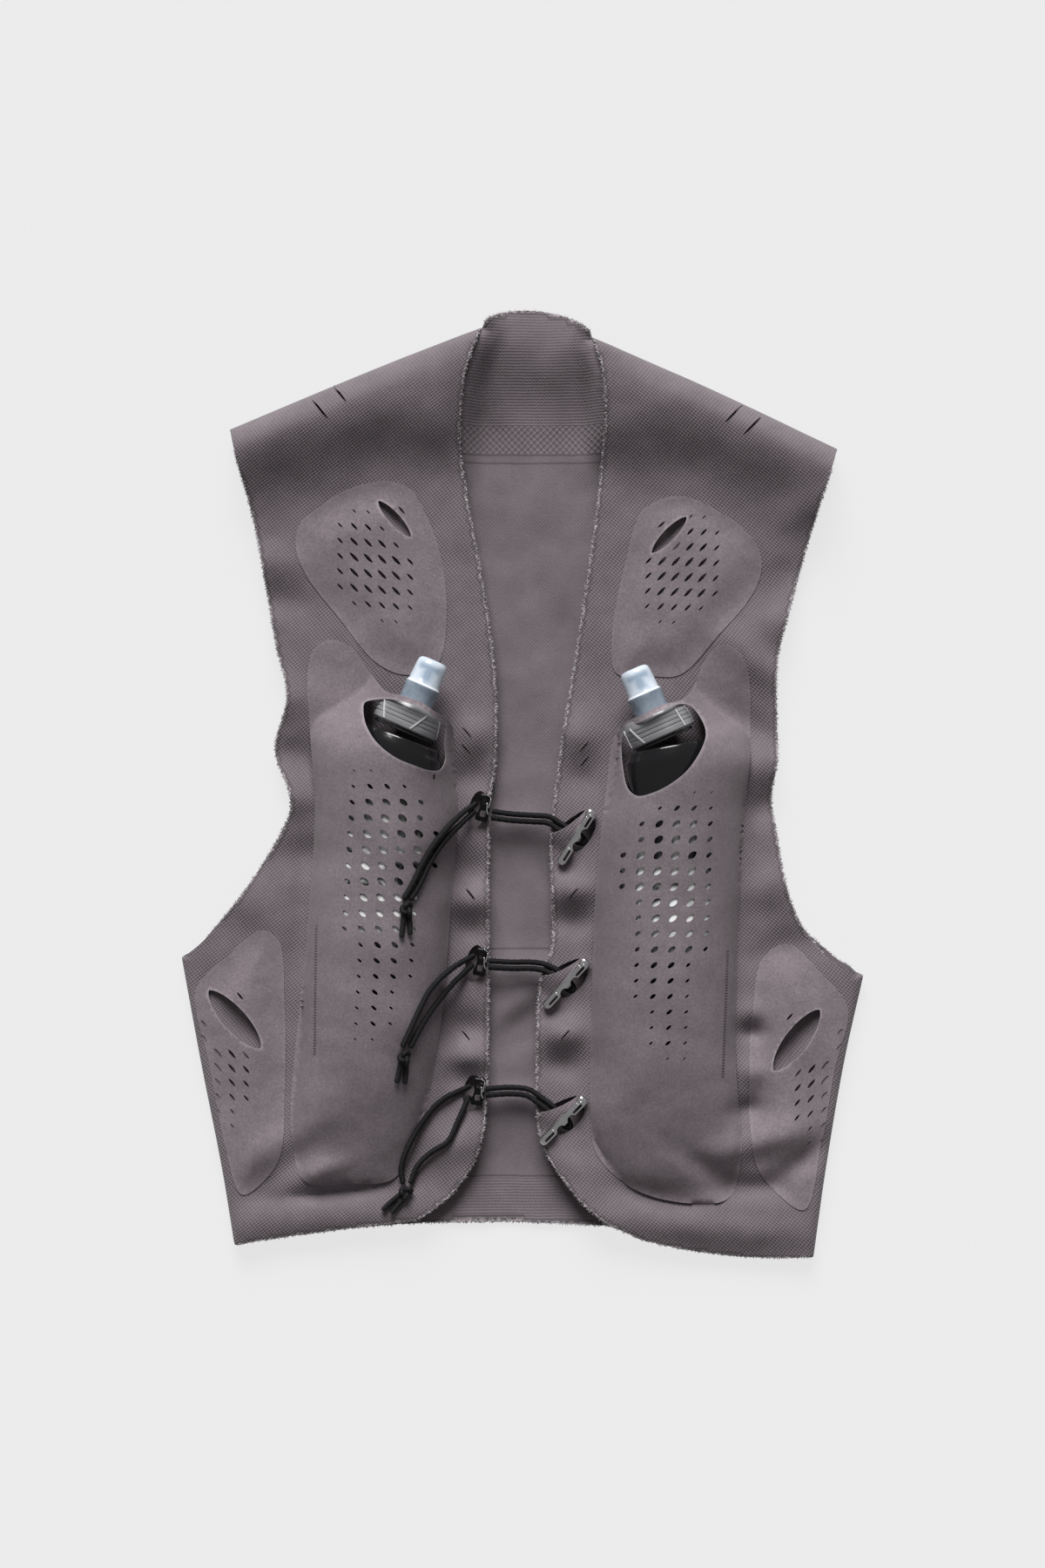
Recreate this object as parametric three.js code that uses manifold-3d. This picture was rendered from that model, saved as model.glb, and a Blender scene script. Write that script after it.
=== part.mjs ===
// Running vest lying flat on its back, open down the front, with two soft flasks in its long pockets.
// Millimetres: +X to the right as the vest is seen from above, +Y to the collar, +Z up from the floor.

import * as THREE from "three";
import { mergeVertices } from "three/addons/utils/BufferGeometryUtils.js";
import Module from "manifold-3d";

const wasm = await Module();
wasm.setup();

// Driving dimensions
const cloth = { wall: 2, backHeight: 1, frontHeight: 14, roundFold: 6.5 };
const panel = { wall: 1.2, gap: 0.6 };
const seat = 0.4;
const toggleSeat = 0.9;
const cord = { diameter: 4, spread: 2.3, sides: 8, loopStep: 9, tailStep: 12, gap: 0.6 };
const flask = { capRadius: 24.5, capHeight: 19, valveRadius: 11, collarHeight: 3, joint: 0.3, lean: 23.6 };
const toggle = { length: 45, width: 8, thick: 6 };
const lock = { length: 20, width: 9, thick: 6.5 };
const eyelet = { long: 24, wide: 26, reach: 15, rise: 7, stripFrom: -12, stripTo: -4.5 };
const knot = { long: 13, wide: 10.5, thick: 9 };
const hem = { backRise: 20 };

// Outlines of the two halves, from the hem up: distance out from the centre line at each height y
const sides = {
  left: {
    sign: -1,
    hemSag: 1,
    sideFold: [{ y: -333, out: 209 }, { y: -278, out: 218 }, { y: -202, out: 233 }, { y: -126, out: 247 }],
    armhole: [
      { y: -126, out: 247 }, { y: -112, out: 230 }, { y: -76, out: 200 }, { y: -26, out: 170 },
      { y: -8, out: 168 }, { y: 25, out: 179 }, { y: 63, out: 170 }, { y: 100, out: 178 },
      { y: 189, out: 194 }, { y: 256, out: 212 },
    ],
    shoulder: [{ y: 256, out: 212 }, { y: 305, out: 94 }, { y: 325, out: 37 }],
    frontEdge: [
      { y: -315, out: 75 }, { y: -295, out: 50 }, { y: -265, out: 32 }, { y: -221, out: 26 },
      { y: -16, out: 24 }, { y: 12, out: 20 }, { y: 75, out: 20 }, { y: 138, out: 28 },
      { y: 239, out: 44 }, { y: 283, out: 44 }, { y: 325, out: 37 },
    ],
    backInset: [{ y: -126, inset: 4 }, { y: 256, inset: 4 }],
  },
  right: {
    sign: 1,
    hemSag: -5,
    sideFold: [{ y: -342, out: 211 }, { y: -278, out: 220 }, { y: -202, out: 233 }, { y: -139, out: 247 }],
    armhole: [
      { y: -139, out: 247 }, { y: -126, out: 221 }, { y: -88, out: 195 }, { y: -26, out: 182 },
      { y: -8, out: 180 }, { y: 19, out: 184 }, { y: 88, out: 184 }, { y: 126, out: 193 },
      { y: 201, out: 214 }, { y: 242, out: 228 },
    ],
    shoulder: [{ y: 242, out: 228 }, { y: 290, out: 126 }, { y: 319, out: 56 }],
    frontEdge: [
      { y: -330, out: 88 }, { y: -315, out: 57 }, { y: -281, out: 26 }, { y: -250, out: 12 },
      { y: -177, out: 11 }, { y: -144, out: 13 }, { y: -115, out: 22 }, { y: -39, out: 21 },
      { y: 31, out: 29 }, { y: 88, out: 38 }, { y: 189, out: 53 }, { y: 264, out: 59 }, { y: 319, out: 56 },
    ],
    backInset: [{ y: -139, inset: -4 }, { y: -90, inset: 4 }, { y: 242, inset: 4 }],
  },
};

// Rows of the cloth in each stretch of its outer outline, and columns across a panel
const rowCounts = { sideFold: 6, armhole: 11, shoulder: 4 };
const roundColumns = [0, 0.16, 0.55, 1];
const flatColumns = 6;

// Soft folds of the fronts: middle, direction in degrees, half length, half width and height
const folds = [
  { x: -124, y: 275, turn: 21, long: 400, wide: 33, rise: 22 },
  { x: 137, y: 267, turn: -24, long: 400, wide: 33, rise: 21 },
  { x: -186, y: 25, turn: 0, long: 22, wide: 18, rise: 7 },
  { x: -165, y: 66, turn: 0, long: 34, wide: 16, rise: -4 },
  { x: -160, y: -14, turn: 0, long: 34, wide: 16, rise: -4 },
  { x: -184, y: -66, turn: -35, long: 30, wide: 18, rise: 4 },
  { x: 176, y: -20, turn: 0, long: 30, wide: 16, rise: -4 },
  { x: 188, y: 20, turn: 0, long: 20, wide: 18, rise: 5 },
  { x: 170, y: 56, turn: 35, long: 34, wide: 20, rise: -4 },
  { x: 183, y: -56, turn: 20, long: 34, wide: 18, rise: 4 },
  { x: -34, y: -74, turn: 0, long: 14, wide: 22, rise: 4 },
  { x: -35, y: -175, turn: 0, long: 14, wide: 20, rise: 4 },
  { x: -28, y: 42, turn: 0, long: 14, wide: 26, rise: 3 },
  { x: 32, y: -92, turn: 0, long: 14, wide: 17, rise: 4 },
  { x: 25, y: -194, turn: 0, long: 14, wide: 17, rise: 4 },
  { x: 40, y: 30, turn: 0, long: 16, wide: 22, rise: 3 },
  { x: 46, y: -304, turn: -40, long: 26, wide: 16, rise: 6 },
  { x: -130, y: -312, turn: 5, long: 44, wide: 15, rise: 4 },
  { x: 130, y: -322, turn: -5, long: 44, wide: 15, rise: 4 },
];

// Long flask pockets: outline, mouth, and the swell over the flask from its top row to its bottom row.
// A swell row gives its two feet, its crest, its height and how far it leans across the pocket.
const flaskPockets = {
  left: {
    outline: [
      [153, 93], [142, 104], [126, 100], [109, 79], [97, 66.5], [75, 61], [56, 52], [49, 34], [47, -17],
      [52, -90], [60, -178], [75, -252], [93, -285], [124, -289], [157, -287], [167, -253], [156, -110], [150, -20],
    ],
    mouth: [
      [115, 50], [110, 60], [97, 63], [86, 61.5], [74, 58], [60, 50.5], [54, 40], [54, 20], [61, 10],
      [76, 11], [90, 18], [105, 33],
    ],
    swell: [
      { y: -289, outer: 158, crest: 124, inner: 92, height: 2, lean: 0 },
      { y: -252, outer: 166, crest: 118, inner: 77, height: 17, lean: 0 },
      { y: -189, outer: 160, crest: 108, inner: 61, height: 35, lean: 0 },
      { y: -126, outer: 157, crest: 103, inner: 53, height: 43, lean: 4 },
      { y: -63, outer: 152, crest: 99, inner: 51, height: 46, lean: 7 },
      { y: -19, outer: 150, crest: 96, inner: 47, height: 49, lean: 10 },
      { y: 12, outer: 153, crest: 93, inner: 46, height: 51, lean: 16 },
      { y: 36, outer: 150, crest: 86, inner: 48, height: 52, lean: 22 },
      { y: 62, outer: 130, crest: 78, inner: 46, height: 50, lean: 24 },
      { y: 78, outer: 126, crest: 76, inner: 48, height: 2, lean: 24 },
    ],
    holes: { out: 120, y: 9.6, columnOut: -11.8, rowOut: 0.65, rowY: -11.4 },
    head: { out: 86, y: 37 },
    body: [
      { out: 85, y: 33.2, halfWide: 27, halfThick: 23 },
      { out: 88.6, y: 24, halfWide: 31, halfThick: 24 },
      { out: 95, y: -6, halfWide: 33, halfThick: 22.5 },
      { out: 99.5, y: -56, halfWide: 34, halfThick: 21 },
      { out: 102.5, y: -106, halfWide: 33, halfThick: 19 },
      { out: 105, y: -146, halfWide: 29, halfThick: 15.5 },
      { out: 107, y: -171, halfWide: 20, halfThick: 10 },
      { out: 107.5, y: -180, halfWide: 8, halfThick: 4 },
    ],
  },
  right: {
    outline: [
      [165, 44], [162, 84], [152, 99], [140, 99], [131, 88], [123, 69], [114, 60.5], [97, 55.5], [85, 49],
      [72, 43], [66, 33], [60, -9], [53, -76], [50, -161], [49, -228], [53, -266], [81, -293], [122, -303],
      [150, -299], [158, -270], [154, -203], [156, -100], [161, -20],
    ],
    mouth: [
      [131, 35], [128, 47], [120, 56], [112, 57], [98, 52], [86, 45], [74, 39], [70, 30], [72, 8],
      [80, -6], [90, -4], [105, 2], [120, 14],
    ],
    swell: [
      { y: -303, outer: 148, crest: 118, inner: 84, height: 2, lean: 0 },
      { y: -252, outer: 158, crest: 102, inner: 51, height: 20, lean: 0 },
      { y: -189, outer: 154, crest: 101, inner: 50, height: 36, lean: 0 },
      { y: -126, outer: 155, crest: 103, inner: 50, height: 43, lean: 4 },
      { y: -63, outer: 157, crest: 105, inner: 53, height: 46, lean: 7 },
      { y: -25, outer: 160, crest: 107, inner: 56, height: 49, lean: 10 },
      { y: 4, outer: 163, crest: 108, inner: 60, height: 51, lean: 16 },
      { y: 28, outer: 160, crest: 103, inner: 65, height: 52, lean: 22 },
      { y: 54, outer: 146, crest: 94, inner: 66, height: 50, lean: 24 },
      { y: 70, outer: 142, crest: 91, inner: 67, height: 2, lean: 24 },
    ],
    holes: { out: 134.8, y: -6, columnOut: -11.8, rowOut: -0.4, rowY: -11.3 },
    head: { out: 102, y: 31 },
    body: [
      { out: 103.8, y: 27.4, halfWide: 27, halfThick: 23 },
      { out: 106, y: 18, halfWide: 31, halfThick: 24 },
      { out: 107, y: -12, halfWide: 33, halfThick: 22.5 },
      { out: 105.5, y: -62, halfWide: 34, halfThick: 21 },
      { out: 103.5, y: -112, halfWide: 33, halfThick: 19 },
      { out: 102, y: -152, halfWide: 29, halfThick: 15.5 },
      { out: 101, y: -177, halfWide: 20, halfThick: 10 },
      { out: 100.8, y: -186, halfWide: 8, halfThick: 4 },
    ],
  },
};
const swellFullness = { power: 2.4, round: 0.62 };
const swellColumns = [1, 0.9, 0.68, 0.36, 0];
const swellEdges = { outer: 172, inner: 40 };

// Flat pockets: outline, slit mouth with the height of its gape, and the place of the first small slit
const flatPockets = {
  chest_pocket_left: {
    side: "left",
    outline: [
      [164, 172], [161, 188], [143, 203], [126, 213], [100, 219], [82, 214], [74, 203], [60, 168],
      [55, 120], [62, 86], [85, 79], [106, 88], [132, 119], [157, 152],
    ],
    mouth: { out: 92.5, y: 191.5, turn: 48, long: 35, wide: 6.5 },
    tack: { out: 88, y: 197.5, turn: 50, long: 7, wide: 1.5 },
    slits: { out: 131.7, y: 198, columnOut: -10.1, columnY: -0.8, rowOut: 0, rowY: -11.1 },
    pattern: "chest",
    puff: { out: 100, y: 165, long: 48, wide: 36, rise: 4 },
  },
  chest_pocket_right: {
    side: "right",
    outline: [
      [172, 150], [172, 166], [162, 182], [140, 198], [116, 208], [98, 205], [85, 195], [74, 158],
      [65, 110], [68, 80], [92, 78], [114, 79], [142, 108], [163, 132],
    ],
    mouth: { out: 106, y: 180, turn: 46, long: 36, wide: 7.5 },
    tack: { out: 101, y: 187, turn: 42, long: 7, wide: 1.5 },
    slits: { out: 141, y: 192.5, columnOut: -9.7, columnY: 0.4, rowOut: -0.4, rowY: -11 },
    pattern: "chest",
    puff: { out: 112, y: 150, long: 48, wide: 36, rise: 4 },
  },
  side_pocket_left: {
    side: "left",
    outline: [
      [231, -148], [213, -126], [190, -106], [177, -112], [172, -160], [172, -225], [175, -268], [187, -287],
      [201, -296], [210, -262], [220, -205],
    ],
    mouth: { out: 208, y: -170, turn: 48, long: 54, wide: 8.5 },
    tack: { out: 206.5, y: -155, turn: 50, long: 7, wide: 1.5 },
    slits: { out: 226, y: -173, columnOut: -10.1, columnY: -0.6, rowOut: 0, rowY: -10.6 },
    pattern: "side",
    puff: { out: 205, y: -180, long: 40, wide: 26, rise: 4.5 },
  },
  side_pocket_right: {
    side: "right",
    outline: [
      [230, -162], [213, -136], [192, -116], [174, -126], [166, -170], [164, -230], [169, -275], [182, -294],
      [202, -307], [211, -262], [220, -205],
    ],
    mouth: { out: 198, y: -185, turn: 53, long: 52, wide: 9.5 },
    tack: { out: 195.5, y: -169.5, turn: 48, long: 7, wide: 1.5 },
    slits: { out: 226, y: -174, columnOut: -10.1, columnY: -3, rowOut: 0.4, rowY: -10.8 },
    pattern: "side",
    puff: { out: 200, y: -190, long: 40, wide: 26, rise: 4.5 },
  },
};
const flatCell = 30;

// Pierced patterns: first and last column of each row, and the size of its holes against the longest
const patterns = {
  flask: {
    longest: 6.8, wide: 0.7, turn: 40, corners: 4, cutFrom: 6.2, edgeSize: 0.7,
    rows: [
      { from: 0, to: 1, size: 0.5 }, { from: 0, to: 3, size: 0.7 }, { from: 0, to: 4, size: 0.9 },
      { from: 0, to: 4, size: 1 }, { from: 0, to: 5, size: 1 }, { from: 0, to: 5, size: 1 },
      { from: 0, to: 5, size: 1 }, { from: 0, to: 4, size: 1 }, { from: 0, to: 4, size: 0.95 },
      { from: 0, to: 4, size: 0.85 }, { from: 0, to: 4, size: 0.75 },
    ],
  },
  chest: {
    longest: 8.8, wide: 0.19, turn: 46, corners: 4, cutFrom: 8.2, edgeSize: 0.72,
    rows: [
      { from: 1, to: 2, size: 0.6 }, { from: 0, to: 3, size: 0.75 }, { from: 0, to: 4, size: 0.9 },
      { from: 0, to: 5, size: 1 }, { from: 0, to: 5, size: 1 }, { from: 0, to: 5, size: 0.95 },
      { from: 1, to: 5, size: 0.75 }, { from: 3, to: 4, size: 0.55 },
    ],
  },
  side: {
    longest: 8, wide: 0.2, turn: 50, corners: 4, cutFrom: 6.4, edgeSize: 0.85,
    rows: [
      { from: 0, to: 0, size: 0.8 }, { from: 0, to: 0, size: 0.9 }, { from: 0, to: 3, size: 1 },
      { from: 0, to: 3, size: 1 }, { from: 1, to: 3, size: 0.9 }, { from: 1, to: 3, size: 0.8 },
      { from: 1, to: 2, size: 0.7 }, { from: 1, to: 2, size: 0.6 },
    ],
  },
};

// Spare slits for moving the closures, and the long slits over the shoulders
const spareSlit = { long: 9, wide: 1.4, pair: 12, turn: 50 };
const spareSlits = [
  { side: "left", out: 40.5, y: 30 }, { side: "left", out: 40, y: -80 }, { side: "left", out: 40.5, y: -183 },
  { side: "right", out: 45, y: 22 }, { side: "right", out: 37, y: -80 }, { side: "right", out: 31, y: -182 },
];
const shoulderSlit = { long: 17, wide: 1.5 };
const shoulderSlits = [
  { side: "left", out: 145.5, y: 269, turn: 50 }, { side: "left", out: 132, y: 281, turn: 51 },
  { side: "right", out: 152, y: 266, turn: 45 }, { side: "right", out: 165, y: 257, turn: 45 },
];

// Closures from the top: toggle middle and direction, lock middle, the loop's middle line up to the toggle,
// the two tails as seen from above, and the knot with the sideways and long reach of its two ends
const closures = [
  {
    toggle: { x: 39, y: -38.4, turn: 57.5 },
    lock: { x: -28, y: -17, turn: 78 },
    loop: [[-22.5, -22, 18.6], [-8, -24, 17.8], [8, -25, 17.8], [19, -26, 18.2]],
    tails: [
      [[-33.6, -14], [-45, -22.5], [-59.5, -38], [-69.8, -53.5], [-78.1, -70.5], [-84.8, -82]],
      [[-34.2, -19.5], [-42, -26.5], [-55.8, -41], [-65.6, -55.7], [-73.7, -72.5], [-79.8, -82.5]],
    ],
    knot: { x: -82.5, y: -89.3, turn: 268, ends: [[-3, 20], [3, 18]] },
  },
  {
    toggle: { x: 31.5, y: -144.3, turn: 47.3 },
    lock: { x: -30, y: -128.5, turn: 80 },
    loop: [[-24.5, -130, 18.6], [-8, -131, 17.8], [6, -131, 17.8], [14, -132, 18.2]],
    tails: [
      [[-34.8, -123.6], [-49.5, -132], [-65, -146], [-73.5, -161], [-80.5, -176], [-86, -188]],
      [[-35.6, -130], [-52, -146], [-67, -165], [-74.7, -178], [-80.5, -189]],
    ],
    knot: { x: -84.5, y: -195.8, turn: 262, ends: [[-3, 19], [3, 19]] },
  },
  {
    toggle: { x: 29.3, y: -243.2, turn: 45.5 },
    lock: { x: -32, y: -222, turn: 82 },
    loop: [[-26.5, -222.5, 18.6], [-8, -221.5, 17.8], [4, -223, 17.8], [12, -228, 18.2]],
    tails: [
      [[-37.4, -218], [-59, -229], [-73.5, -246], [-83, -263], [-87.5, -277], [-86.5, -288.5]],
      [[-38.4, -225], [-46, -242], [-54, -258], [-66, -266], [-76, -276], [-81, -288.5]],
    ],
    knot: { x: -84.5, y: -294.8, turn: 226, ends: [[-3, 21], [3, 18]] },
  },
];

const degrees = Math.PI / 180;

// Smooth value of one column of a table at height y; the rows run up the vest
function valueAt(rows, column, y) {
  const last = rows.length - 1;
  if (y <= rows[0].y) return rows[0][column];
  if (y >= rows[last].y) return rows[last][column];
  let i = 0;
  while (y > rows[i + 1].y) i += 1;
  const slope = (k) => {
    const before = rows[Math.max(k - 1, 0)];
    const after = rows[Math.min(k + 1, last)];
    return (after[column] - before[column]) / (after.y - before.y);
  };
  const span = rows[i + 1].y - rows[i].y;
  const t = (y - rows[i].y) / span;
  const t2 = t * t;
  const t3 = t2 * t;
  const ends = rows[i][column] * (2 * t3 - 3 * t2 + 1) + rows[i + 1][column] * (3 * t2 - 2 * t3);
  return ends + span * (slope(i) * (t3 - 2 * t2 + t) + slope(i + 1) * (t3 - t2));
}

// Height that the soft folds of a front add to it at a point
function foldHeight(x, y) {
  let height = 0;
  for (const fold of folds.filter((each) => each.x * x > 0)) {
    const turn = fold.turn * degrees;
    const dx = x - fold.x;
    const dy = y - fold.y;
    const along = (dx * Math.cos(turn) + dy * Math.sin(turn)) / fold.long;
    const across = (dy * Math.cos(turn) - dx * Math.sin(turn)) / fold.wide;
    height += fold.rise * Math.exp(-along * along - across * across);
  }
  return height;
}

// Rows of one half's outer outline. open is 0 where front and back are one fold, 1 along the armhole;
// stretch widens the round of the fold where the row meets it at a slant.
function outerRows(side) {
  const rows = [];
  for (const part of ["sideFold", "armhole", "shoulder"]) {
    const table = side[part];
    const low = table[0].y;
    const high = table.at(-1).y;
    const count = rowCounts[part];
    for (let i = rows.length ? 1 : 0; i <= count; i += 1) {
      const share = part === "armhole" ? (i / count) ** 1.15 : i / count;
      const y = THREE.MathUtils.lerp(low, high, share);
      const ends = THREE.MathUtils.smoothstep(y, low, low + 30) * THREE.MathUtils.smoothstep(high - y, 0, 30);
      rows.push({
        y,
        out: valueAt(table, "out", y) - (part === "armhole" ? 0 : cloth.wall / 2),
        open: part === "armhole" ? ends : 0,
        stretch: part === "shoulder" ? 2.3 : 1,
      });
    }
  }
  return rows;
}

// Places of the columns across a row: close together round the fold, then even
function columnPlaces(length, roundLength, flat) {
  const round = roundColumns.map((c) => c * roundLength);
  const start = round.at(-1);
  for (let i = 1; i <= flat; i += 1) round.push(start + ((length - start) * i) / flat);
  return round;
}

// Height of a layer at a distance from its fold: level is 1 for the front and -1 for the back
function layerHeight(level, distance, row, extra) {
  const middle = (cloth.frontHeight + cloth.backHeight) / 2;
  const half = (cloth.frontHeight - cloth.backHeight) / 2;
  const inward = 1 - Math.min(distance / (cloth.roundFold * row.stretch), 1);
  const round = Math.sqrt(1 - inward * inward);
  const share = round + (1 - round) * row.open;
  return middle + share * (level * half + extra);
}

// Middle surface of one front, from its outer outline in to the front edge
function frontRows(side) {
  const outer = outerRows(side);
  const low = outer[0].y;
  const high = outer.at(-1).y;
  const edgeLow = side.frontEdge[0].y;
  return outer.map((row) => {
    const rise = (row.y - low) / (high - low);
    const edgeY = THREE.MathUtils.lerp(edgeLow, high, rise);
    const edgeOut = Math.min(valueAt(side.frontEdge, "out", edgeY), row.out);
    const length = row.out - edgeOut;
    const roundLength = Math.min(cloth.roundFold * row.stretch, length * 0.4);
    return columnPlaces(length, roundLength, flatColumns).map((place) => {
      const t = length > 0 ? place / length : 1;
      const sag = rise === 0 ? side.hemSag * 4 * t * (1 - t) : 0;
      const x = side.sign * (row.out - place);
      const y = THREE.MathUtils.lerp(row.y, edgeY, t) + sag;
      return new THREE.Vector3(x, y, layerHeight(1, place, row, foldHeight(x, y)));
    });
  });
}

// Middle surface of the back, from the left outline to the right one, with the collar rim above it
function backRows() {
  const left = outerRows(sides.left);
  const right = outerRows(sides.right);
  const inset = (side, row) => row.open * valueAt(side.backInset, "inset", row.y);
  const rows = left.map((row, i) => {
    const other = right[i];
    const from = -(row.out - inset(sides.left, row));
    const to = other.out - inset(sides.right, other);
    const length = to - from;
    const roundLength = Math.min(cloth.roundFold * row.stretch, length * 0.2);
    const half = columnPlaces(length / 2, roundLength, flatColumns / 2);
    const places = [...half, ...half.slice(0, -1).reverse().map((place) => length - place)];
    return places.map((place) => {
      const t = place / length;
      const edge = Math.min(place, length - place);
      const nearest = t < 0.5 ? row : other;
      const rise = i === 0 ? hem.backRise * 4 * t * (1 - t) : 0;
      const y = THREE.MathUtils.lerp(row.y, other.y, t) + rise;
      return new THREE.Vector3(from + place, y, layerHeight(-1, edge, nearest, 0));
    });
  });
  const top = rows.at(-1);
  const rim = top.map((point, i) => {
    const t = (2 * i) / (top.length - 1) - 1;
    const arch = 20 * Math.sqrt(1 - t * t);
    return new THREE.Vector3(point.x, point.y + arch, point.z);
  });
  return [...rows, rim];
}

// Closed solid of one wall around middle surfaces that share their edges where points coincide
function thicken(surfaces, wall) {
  const points = [];
  const known = new Map();
  const idOf = (point) => {
    const key = point.toArray().map((value) => Math.round(value * 1000)).join(" ");
    if (!known.has(key)) {
      known.set(key, points.length);
      points.push(point);
    }
    return known.get(key);
  };
  const faces = [];
  for (const { rows, flip } of surfaces) {
    for (let r = 0; r + 1 < rows.length; r += 1) {
      for (let c = 0; c + 1 < rows[r].length; c += 1) {
        const a = idOf(rows[r][c]);
        const b = idOf(rows[r][c + 1]);
        const d = idOf(rows[r + 1][c]);
        const e = idOf(rows[r + 1][c + 1]);
        for (const face of [[a, b, e], [a, e, d]]) {
          if (new Set(face).size === 3) faces.push(flip ? face.reverse() : face);
        }
      }
    }
  }
  const normals = points.map(() => new THREE.Vector3());
  const triangle = new THREE.Triangle();
  const normal = new THREE.Vector3();
  for (const face of faces) {
    triangle.setFromPointsAndIndices(points, ...face);
    triangle.getNormal(normal).multiplyScalar(triangle.getArea());
    face.forEach((id) => normals[id].add(normal));
  }
  const count = points.length;
  const positions = [];
  for (const level of [wall / 2, -wall / 2]) {
    points.forEach((point, i) => {
      positions.push(...point.clone().addScaledVector(normals[i].clone().normalize(), level).toArray());
    });
  }
  const indices = [];
  const edges = new Set(faces.flatMap(([a, b, c]) => [`${a} ${b}`, `${b} ${c}`, `${c} ${a}`]));
  for (const [a, b, c] of faces) {
    indices.push(a, b, c, count + c, count + b, count + a);
    for (const [from, to] of [[a, b], [b, c], [c, a]]) {
      if (!edges.has(`${to} ${from}`)) indices.push(from, count + from, count + to, from, count + to, to);
    }
  }
  const geometry = new THREE.BufferGeometry();
  geometry.setAttribute("position", new THREE.Float32BufferAttribute(positions, 3));
  geometry.setIndex(indices);
  return geometry;
}

// Solid of a closed geometry for joining and cutting, and back again
function solidOf(geometry) {
  const bare = geometry.clone();
  bare.deleteAttribute("normal");
  bare.deleteAttribute("uv");
  const merged = mergeVertices(bare, 1e-4);
  const vertProperties = new Float32Array(merged.attributes.position.array);
  const triVerts = new Uint32Array(merged.index.array);
  return new wasm.Manifold(new wasm.Mesh({ numProp: 3, vertProperties, triVerts }));
}

function geometryOf(solid) {
  const mesh = solid.getMesh();
  const geometry = new THREE.BufferGeometry();
  geometry.setAttribute("position", new THREE.Float32BufferAttribute(mesh.vertProperties, 3));
  geometry.setIndex([...mesh.triVerts]);
  return geometry;
}

// Upright prism over a flat outline
function prism(points, low, high) {
  const shape = new THREE.Shape(points.map(([x, y]) => new THREE.Vector2(x, y)));
  const geometry = new THREE.ExtrudeGeometry(shape, { depth: high - low, bevelEnabled: false });
  return solidOf(geometry.translate(0, 0, low));
}

// Outline of an oval hole: turn is the direction of its long axis in degrees
function oval(x, y, turn, long, wide, corners) {
  return Array.from({ length: corners }, (_, i) => {
    const angle = (2 * Math.PI * i) / corners;
    const a = (long / 2) * Math.cos(angle);
    const b = (wide / 2) * Math.sin(angle);
    const [c, s] = [Math.cos(turn * degrees), Math.sin(turn * degrees)];
    return [x + a * c - b * s, y + a * s + b * c];
  });
}

// Smooth closed outline through points given as distance out and height
function smoothOutline(side, points, count) {
  const corners = points.map(([out, y]) => new THREE.Vector3(side.sign * out, y, 0));
  const curve = new THREE.CatmullRomCurve3(corners, true, "centripetal");
  return curve.getPoints(count).slice(0, -1).map((point) => [point.x, point.y]);
}

// Height of the cloth's middle surface at a point of a front, on its own flat facets
function facetHeight(rows, x, y) {
  const target = new THREE.Vector3(x, y, 0);
  const weights = new THREE.Vector3();
  const flat = (point) => new THREE.Vector3(point.x, point.y, 0);
  for (let r = 0; r + 1 < rows.length; r += 1) {
    for (let c = 0; c + 1 < rows[r].length; c += 1) {
      const [a, b] = [rows[r][c], rows[r][c + 1]];
      const [d, e] = [rows[r + 1][c], rows[r + 1][c + 1]];
      for (const corners of [[a, b, e], [a, e, d]]) {
        const triangle = new THREE.Triangle(...corners.map(flat));
        if (triangle.getArea() > 1e-6 && triangle.containsPoint(target)) {
          triangle.getBarycoord(target, weights);
          return corners[0].z * weights.x + corners[1].z * weights.y + corners[2].z * weights.z;
        }
      }
    }
  }
  return cloth.frontHeight;
}

const fronts = { left: frontRows(sides.left), right: frontRows(sides.right) };

// Middle height of a bonded panel: on the front's folds, across its dips
function panelHeight(name, x, y) {
  const front = Math.max(facetHeight(fronts[name], x, y), cloth.frontHeight);
  return front + cloth.wall / 2 + panel.gap + panel.wall / 2;
}

// Swell of a flask pocket above the front at a point; its rows lean, so the row is found by stepping
function swellHeight(pocket, out, y) {
  let row = y;
  for (let i = 0; i < 8; i += 1) {
    const lean = Math.tan(valueAt(pocket.swell, "lean", row) * degrees);
    row = (row + y - lean * (out - valueAt(pocket.swell, "crest", row))) / 2;
  }
  const crest = valueAt(pocket.swell, "crest", row);
  const foot = valueAt(pocket.swell, out > crest ? "outer" : "inner", row);
  const share = Math.min(Math.abs((out - crest) / (foot - crest)), 1);
  const ends = row > pocket.swell.at(-1).y || row < pocket.swell[0].y ? 0 : 1;
  const round = (1 - share ** swellFullness.power) ** swellFullness.round;
  return ends * round * valueAt(pocket.swell, "height", row);
}

// Middle surface of a flask pocket, on rows that lean with the flask
function flaskPocketRows(name, pocket) {
  const side = sides[name];
  const heights = pocket.swell.map((row) => row.y);
  const top = heights.at(-1);
  const brow = (heights.at(-2) + top) / 2;
  const stops = [heights[0] - 20, ...heights.slice(0, -1), brow, top, top + 45];
  return stops.map((y) => {
    const lean = Math.tan(valueAt(pocket.swell, "lean", y) * degrees);
    const crest = valueAt(pocket.swell, "crest", y);
    const spread = (foot) => swellColumns.map((share) => crest + share * (valueAt(pocket.swell, foot, y) - crest));
    const columns = [swellEdges.outer, ...spread("outer"), ...spread("inner").reverse().slice(1), swellEdges.inner];
    return columns.map((out) => {
      const x = side.sign * out;
      const height = y + lean * (out - crest);
      return new THREE.Vector3(x, height, panelHeight(name, x, height) + swellHeight(pocket, out, height));
    });
  });
}

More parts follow.
